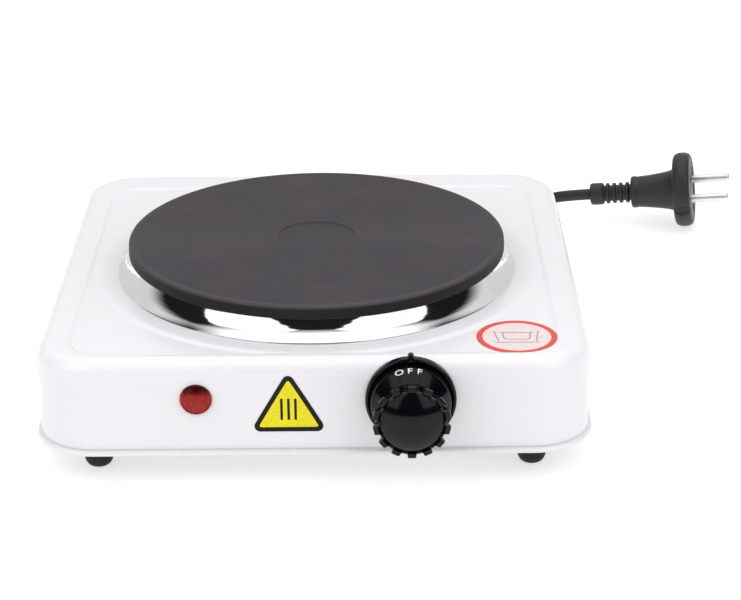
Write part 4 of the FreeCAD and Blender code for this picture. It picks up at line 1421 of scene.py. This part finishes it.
    def _letter(self, letter: str, azimuth: float, work: bmesh.types.BMesh) -> None:
        """Add one raised letter, wrapped on the dial's sloping shoulder.

        Args:
            letter: The letter.
            azimuth: Its place round the knob, in radians clockwise from the top.
            work: Mesh that it is added to.
        """
        text = bpy.data.curves.new("letter", "FONT")
        text.body = letter
        text.size = self.letter_height * 1.42
        text.align_x = "CENTER"
        text.offset = 0.00003
        text.resolution_u = 6
        source = bpy.data.objects.new("letter", text)
        bpy.context.scene.collection.objects.link(source)
        flat = bpy.data.meshes.new_from_object(source.evaluated_get(bpy.context.evaluated_depsgraph_get()))
        bpy.data.objects.remove(source)
        first = len(work.verts)
        work.from_mesh(flat)
        work.verts.ensure_lookup_table()
        mine = work.verts[first:]
        bmesh.ops.remove_doubles(work, verts=mine, dist=0.000005)
        faces = [face for face in work.faces if face.verts[0].index >= first or face.verts[0].index < 0]
        raised = bmesh.ops.extrude_face_region(work, geom=faces)["geom"]
        tops = {item for item in raised if isinstance(item, bmesh.types.BMVert)}
        (outer, near), (inner, far) = self.shoulder
        length = math.hypot(inner - outer, far - near)
        inwards, forwards = (inner - outer) / length, (far - near) / length
        for vertex in [vertex for vertex in work.verts if vertex.tag is False]:
            along = self.letter_along + self.letter_height / 2 - vertex.co.y
            lift = 0.00008 if vertex in tops else -0.00006
            radius = outer + inwards * along + forwards * lift
            height = near + forwards * along - inwards * lift
            angle = TURN / 4 - azimuth - vertex.co.x * self.letter_width / outer
            vertex.co = self.placing @ Vector((radius * math.cos(angle), radius * math.sin(angle), height))
            vertex.tag = True

    def mark(self) -> bpy.types.Object:
        """Raise the OFF mark, in wide letters set apart on the shoulder.

        Returns:
            The letters, as one piece.
        """
        work = bmesh.new()
        for letter, azimuth in self.letters:
            self._letter(letter, math.radians(azimuth), work)
        bmesh.ops.recalc_face_normals(work, faces=work.faces)
        mesh = bpy.data.meshes.new("off_mark")
        work.to_mesh(mesh)
        work.free()
        mesh.materials.append(LETTER_WHITE.material())
        letters = bpy.data.objects.new("off_mark", mesh)
        bpy.context.scene.collection.objects.link(letters)
        return letters

    def build(self) -> None:
        """Build the bezel on the housing and the knob on its own body."""
        mount(self.bezel(), Body.HOUSING, "knob_black", "dial_bezel")
        mount(self.pointer(), Body.HOUSING, "knob_black")
        mount(self.dial(), Body.KNOB, "knob_black", "knob_dial")
        mount(self.grip(), Body.KNOB, "knob_black", "knob_grip")
        mount(self.cap(), Body.KNOB, "knob_black", "knob_cap")
        mount(self.mark(), Body.KNOB, "knob_black")


# ---------------------------------------------------------------- lamp
@dataclass
class Lamp:
    """Red indicator lens, cut in facets inside a smooth rim."""

    rim: float = 0.0072
    reach: float = 0.0024
    facets: int = 16
    bore: float = 0.0054
    bore_end: float = -0.0009

    def build(self) -> None:
        """Build the lens from rings of points, its facets set half a step apart."""
        spot = middle("lamp_lens")
        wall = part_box("lamp_lens")[0].y + self.reach
        placing = Matrix.Translation((spot.x, wall, spot.z)) @ AHEAD
        rings = ((self.bore, -0.0110, 0), (0.0062, -0.0110, 0), (0.0062, -0.0008, 0), (self.rim, -0.0008, 0),
                 (self.rim, 0.0002, 0), (0.0069, 0.0009, 0), (0.0064, 0.0011, 0), (0.0060, 0.0009, 0),
                 (0.0050, 0.0015, 1), (0.0036, 0.0019, 0), (0.0019, 0.0023, 1))
        points: list[Vector] = []
        faces: list[list[int]] = []
        count = self.facets * 2
        for radius, height, shift in rings:
            for step in range(count):
                angle = TURN * (step + 0.5 * shift) / count
                deep = 0.00004 if height > 0.0012 and step % 2 else 0.0
                cosine, sine = math.cos(angle), math.sin(angle)
                points.append(placing @ Vector((radius * cosine, radius * sine, height - deep)))
        for row, (low, high) in enumerate(zip(rings, rings[1:])):
            for step in range(count):
                here, following = row * count + step, row * count + (step + 1) % count
                above, beyond = here + count, following + count
                if low[2] == high[2]:
                    faces.append([here, following, beyond, above])
                elif high[2]:
                    faces += [[here, following, above], [above, following, beyond]]
                else:
                    faces += [[here, following, beyond], [here, beyond, above]]
        last = len(points) - count
        points.append(placing @ Vector((0, 0, self.reach)))
        faces += [[last + step, last + (step + 1) % count, len(points) - 1] for step in range(count)]
        points.append(placing @ Vector((0, 0, self.bore_end)))
        start = len(points)
        for step in range(count):
            angle = TURN * step / count
            cosine, sine = math.cos(angle), math.sin(angle)
            points.append(placing @ Vector((self.bore * cosine, self.bore * sine, self.bore_end)))
        for step in range(count):
            following = (step + 1) % count
            faces.append([step, following, start + following, start + step])
            faces.append([start + step, start + following, start - 1])
        lens = mesh_piece("lens_cut", points, faces, [LENS_RED], crease=9)
        mount(lens, Body.HOUSING, "red_lens", "lamp_lens")


# ---------------------------------------------------------------- stickers
@dataclass
class Stickers:
    """Two plain stickers: a yellow triangle on the front wall and a red ring on the top."""

    housing: Housing
    border: float = 0.0021
    thick: float = 0.00022
    stroke: float = 0.00056
    ring_inner: Spot = (0.0155, 0.0154)
    ring_steps: int = 96
    line_half: float = 0.00032
    bar_gap: float = 0.0031
    bar_foot: float = 0.0056
    bar_tall: float = 0.0104

    @staticmethod
    def _slab(rings: Sequence[Sequence[Spot]], lift: Lift, low: float, high: float) -> Skin:
        """Make a thin slab between nested outlines.

        Args:
            rings: Outlines of equal count from the outside in; the last may shrink to a spot.
            lift: Gives the place of a spot at a height above the face.
            low: Height of the slab's back.
            high: Height of its front.

        Returns:
            Vertices and faces.
        """
        sheets = [[lift(x, y, low) for x, y in ring] for ring in reversed(rings)]
        sheets += [[lift(x, y, high) for x, y in ring] for ring in rings]
        return loft(sheets, True)

    @staticmethod
    def _nested(outline: Sequence[Spot], centre: Spot, shares: Sequence[float]) -> list[list[Spot]]:
        """Draw copies of an outline in towards a centre.

        Args:
            outline: The outline.
            centre: Spot that the copies shrink to.
            shares: Size of each copy, as a share of the outline's.

        Returns:
            The copies.
        """
        across, along = centre
        return [[(across + (x - across) * share, along + (y - along) * share) for x, y in outline]
                for share in shares]

    def _wall_spot(self, x: float, z: float, lift: float) -> Vector:
        """Place on the front wall at a height above its face."""
        return Vector((x, self.housing.front + self.housing.wall_hollow(z) - lift, z))

    @staticmethod
    def _ribbon(line: Sequence[Spot], width: float) -> list[Spot]:
        """Outline a stroke of even width along a line.

        Args:
            line: Points along the stroke.
            width: Half of the stroke's width.

        Returns:
            Closed outline.
        """
        left, right = [], []
        for index, spot in enumerate(line):
            before, after = line[max(index - 1, 0)], line[min(index + 1, len(line) - 1)]
            way = Vector((after[0] - before[0], after[1] - before[1])).normalized()
            left.append((spot[0] - way.y * width, spot[1] + way.x * width))
            right.append((spot[0] + way.y * width, spot[1] - way.x * width))
        return left + right[::-1]

    def _strip(self, line: Sequence[Spot], width: float, lift: Lift, low: float, high: float) -> Skin:
        """Make a thin raised stroke.

        Args:
            line: Points along the stroke.
            width: Half of its width.
            lift: Gives the place of a spot at a height above the face.
            low: Height of its back.
            high: Height of its front.

        Returns:
            Vertices and faces.
        """
        outline = self._ribbon(line, width)
        count = len(line)
        points = [lift(x, y, height) for height in (low, high) for x, y in outline]
        total = len(outline)
        faces = []
        for step in range(count - 1):
            across = [step, step + 1, total - 2 - step, total - 1 - step]
            faces += [across, [index + total for index in across]]
        for step in range(total):
            following = (step + 1) % total
            faces.append([step, following, following + total, step + total])
        return points, faces

    @staticmethod
    def _gather(parts: Sequence[tuple[list[Vector], list[list[int]], int]]
                ) -> tuple[list[Vector], list[list[int]], list[int]]:
        """Join meshes, keeping the number of each one's finish.

        Args:
            parts: Vertices, faces and finish number of each mesh.

        Returns:
            All vertices, all faces and the finish number of each face.
        """
        points: list[Vector] = []
        faces: list[list[int]] = []
        marks: list[int] = []
        for more, loops, mark in parts:
            faces += [[index + len(points) for index in face] for face in loops]
            marks += [mark] * len(loops)
            points += more
        return points, faces, marks

    def triangle(self) -> bpy.types.Object:
        """Make the yellow triangle with a dark border and three plain upright bars.

        Returns:
            The sticker.
        """
        low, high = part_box("front_label")
        centre_x = (low.x + high.x) / 2
        width, bend = high.x - low.x, 0.0026
        side = width + 1.464 * bend
        inner = 0.577 * side / 2
        base = low.z

        def outline(inset: float, corner: float) -> list[Spot]:
            """Draw a triangle set in from the sticker's edge.

            Args:
                inset: Distance in from the edge.
                corner: Bend radius of its corners.

            Returns:
                Closed outline.
            """
            reach = side / 2 - inset * math.sqrt(3)
            apex = base + side * math.sqrt(3) / 2 - 2 * inset
            foot = base + inset
            return softened([(centre_x - reach, foot, corner), (centre_x + reach, foot, corner),
                             (centre_x, apex, corner)], True)

        outer = self._filled(outline(0.0, bend), 12)
        inside = self._filled(outline(self.border, 0.0008), 12)
        centre = (centre_x, base + inner)
        parts = [(*self._slab([outer, inside], self._wall_spot, -0.0001, self.thick), 0),
                 (*self._slab(self._nested(inside, centre, (1.0, 0.75, 0.5, 0.25, 0.001)), self._wall_spot,
                              -0.0001, self.thick - 0.00002), 1)]
        for number in (-1, 0, 1):
            across = centre_x + number * self.bar_gap
            line = [(across, base + self.bar_foot + self.bar_tall * step / 4) for step in range(5)]
            parts.append((*self._strip(line, self.stroke, self._wall_spot, 0.0001, self.thick + 0.00003), 0))
        points, faces, marks = self._gather(parts)
        return mesh_piece("triangle_sticker", points, faces, [BLACK_INK, YELLOW], marks)

    @staticmethod
    def _filled(outline: Sequence[Spot], pieces: int) -> list[Spot]:
        """Divide the long sides of an outline.

        Args:
            outline: Closed outline.
            pieces: Number of pieces for each long side.

        Returns:
            The outline with more points.
        """
        full: list[Spot] = []
        for start, end in zip(outline, list(outline[1:]) + [outline[0]]):
            run, rise = end[0] - start[0], end[1] - start[1]
            steps = pieces if math.hypot(run, rise) > 0.006 else 1
            full += [(start[0] + run * step / steps, start[1] + rise * step / steps) for step in range(steps)]
        return full

    def roundel(self) -> bpy.types.Object:
        """Make the white disc with a red ring and a plain outline of a pan.

        Returns:
            The sticker.
        """
        low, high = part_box("round_label")
        centre = ((low.x + high.x) / 2, (low.y + high.y) / 2)
        reach = (high.x - low.x) / 2

        def above(x: float, y: float, lift: float) -> Vector:
            """Place on the pressed top at a height above its face."""
            return Vector((x, y, self.housing.top_height(x, y) + lift))

        sizes = [(reach, reach), (reach * 0.92, reach * 0.93), self.ring_inner]
        across, along = self.ring_inner
        sizes += [(across * share, along * share) for share in (0.8, 0.6, 0.4, 0.2, 0.001)]
        angles = [TURN * step / self.ring_steps for step in range(self.ring_steps)]
        rings = [[(centre[0] + wide * math.cos(angle), centre[1] + deep * math.sin(angle))
                  for angle in angles] for wide, deep in sizes]
        parts = [(*self._slab(rings[:3], above, 0.0, self.thick), 0),
                 (*self._slab(rings[2:], above, 0.0, self.thick - 0.00002), 1)]
        pan = [(-0.0062, 0.0042), (-0.0058, -0.0030, 0.002), (0.0058, -0.0030, 0.002), (0.0062, 0.0042)]
        drawings = [softened(pan), [(-0.0074, 0.0046), (0.0074, 0.0046)],
                    [(-0.0100, -0.0062), (0.0100, -0.0062)]]
        drawings += [[(side * 0.0100, 0.0060), (side * 0.0085, -0.0050)] for side in (-1, 1)]
        for drawing in drawings:
            line = [(centre[0] + x, centre[1] + y) for x, y in drawing]
            parts.append((*self._strip(line, self.line_half, above, 0.0001, self.thick + 0.00003), 2))
        points, faces, marks = self._gather(parts)
        return mesh_piece("round_sticker", points, faces, [RED_INK, WHITE_INK, GREY_INK], marks)

    def build(self) -> None:
        """Build both stickers."""
        mount(self.triangle(), Body.HOUSING, "yellow_label", "front_label")
        mount(self.roundel(), Body.HOUSING, "white_label", "round_label")


# ---------------------------------------------------------------- feet
@dataclass
class Feet:
    """Four moulded rubber feet."""

    names: tuple[str, ...] = ("foot_front_left", "foot_front_right", "foot_rear_left", "foot_rear_right")
    screw_radius: float = 0.0032
    shank_radius: float = 0.0017
    screw_seat: float = 0.008

    def build(self) -> None:
        """Turn each foot where the frame has it."""
        for name in self.names:
            low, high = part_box(name)
            reach = (high.x - low.x) / 2
            tall = high.z
            corners: list[Corner] = [(self.shank_radius, tall), (self.shank_radius, self.screw_seat),
                                     (self.screw_radius, self.screw_seat),
                                     (self.screw_radius, 0.0004, 0.0004), (self.screw_radius + 0.0004, 0.0),
                                     (0.0040, 0.0, 0.001), (0.0054, 0.0009, 0.003), (0.0064, 0.0028, 0.004),
                                     (reach, 0.0058, 0.006), (reach, tall - 0.0008, 0.0006),
                                     (reach - 0.0006, tall)]
            placing = Matrix.Translation(((low.x + high.x) / 2, (low.y + high.y) / 2, 0))
            foot = turned_piece(name.replace("foot", "rubber"), corners, placing, FOOT_BLACK, 72, closed=True)
            mount(foot, Body.HOUSING, "foot_rubber", name)


# ---------------------------------------------------------------- pieces kept from the frame
@dataclass
class Workings:
    """The frame's own pieces that keep their shape and get a finish."""

    def build(self) -> int:
        """Dress each CAD node that still shows by the slot that it was packed with.

        Returns:
            Number of nodes dressed.
        """
        dressed = 0
        for name, node in sorted(frame["nodes"].items()):
            if node.hide_render:
                continue
            slot = node.data.materials[0].name.split(".")[0]
            node.data.materials[0] = SLOT_FINISH[slot].material()
            dressed += 1
            LOG.info("%s dressed as %s", name, slot)
        return dressed


def main() -> None:
    """Build the hot plate round its frame, piece by piece."""
    logging.basicConfig(level=logging.INFO, format="%(name)s: %(message)s")
    Viewpoint().make()
    MainsLead().build()
    Studio().build()
    housing = Housing()
    housing.build()
    Burner().build()
    Knob().build()
    Lamp().build()
    Stickers(housing).build()
    Feet().build()
    LOG.info("%d nodes of the frame dressed", Workings().build())


if __name__ == "__main__":
    main()
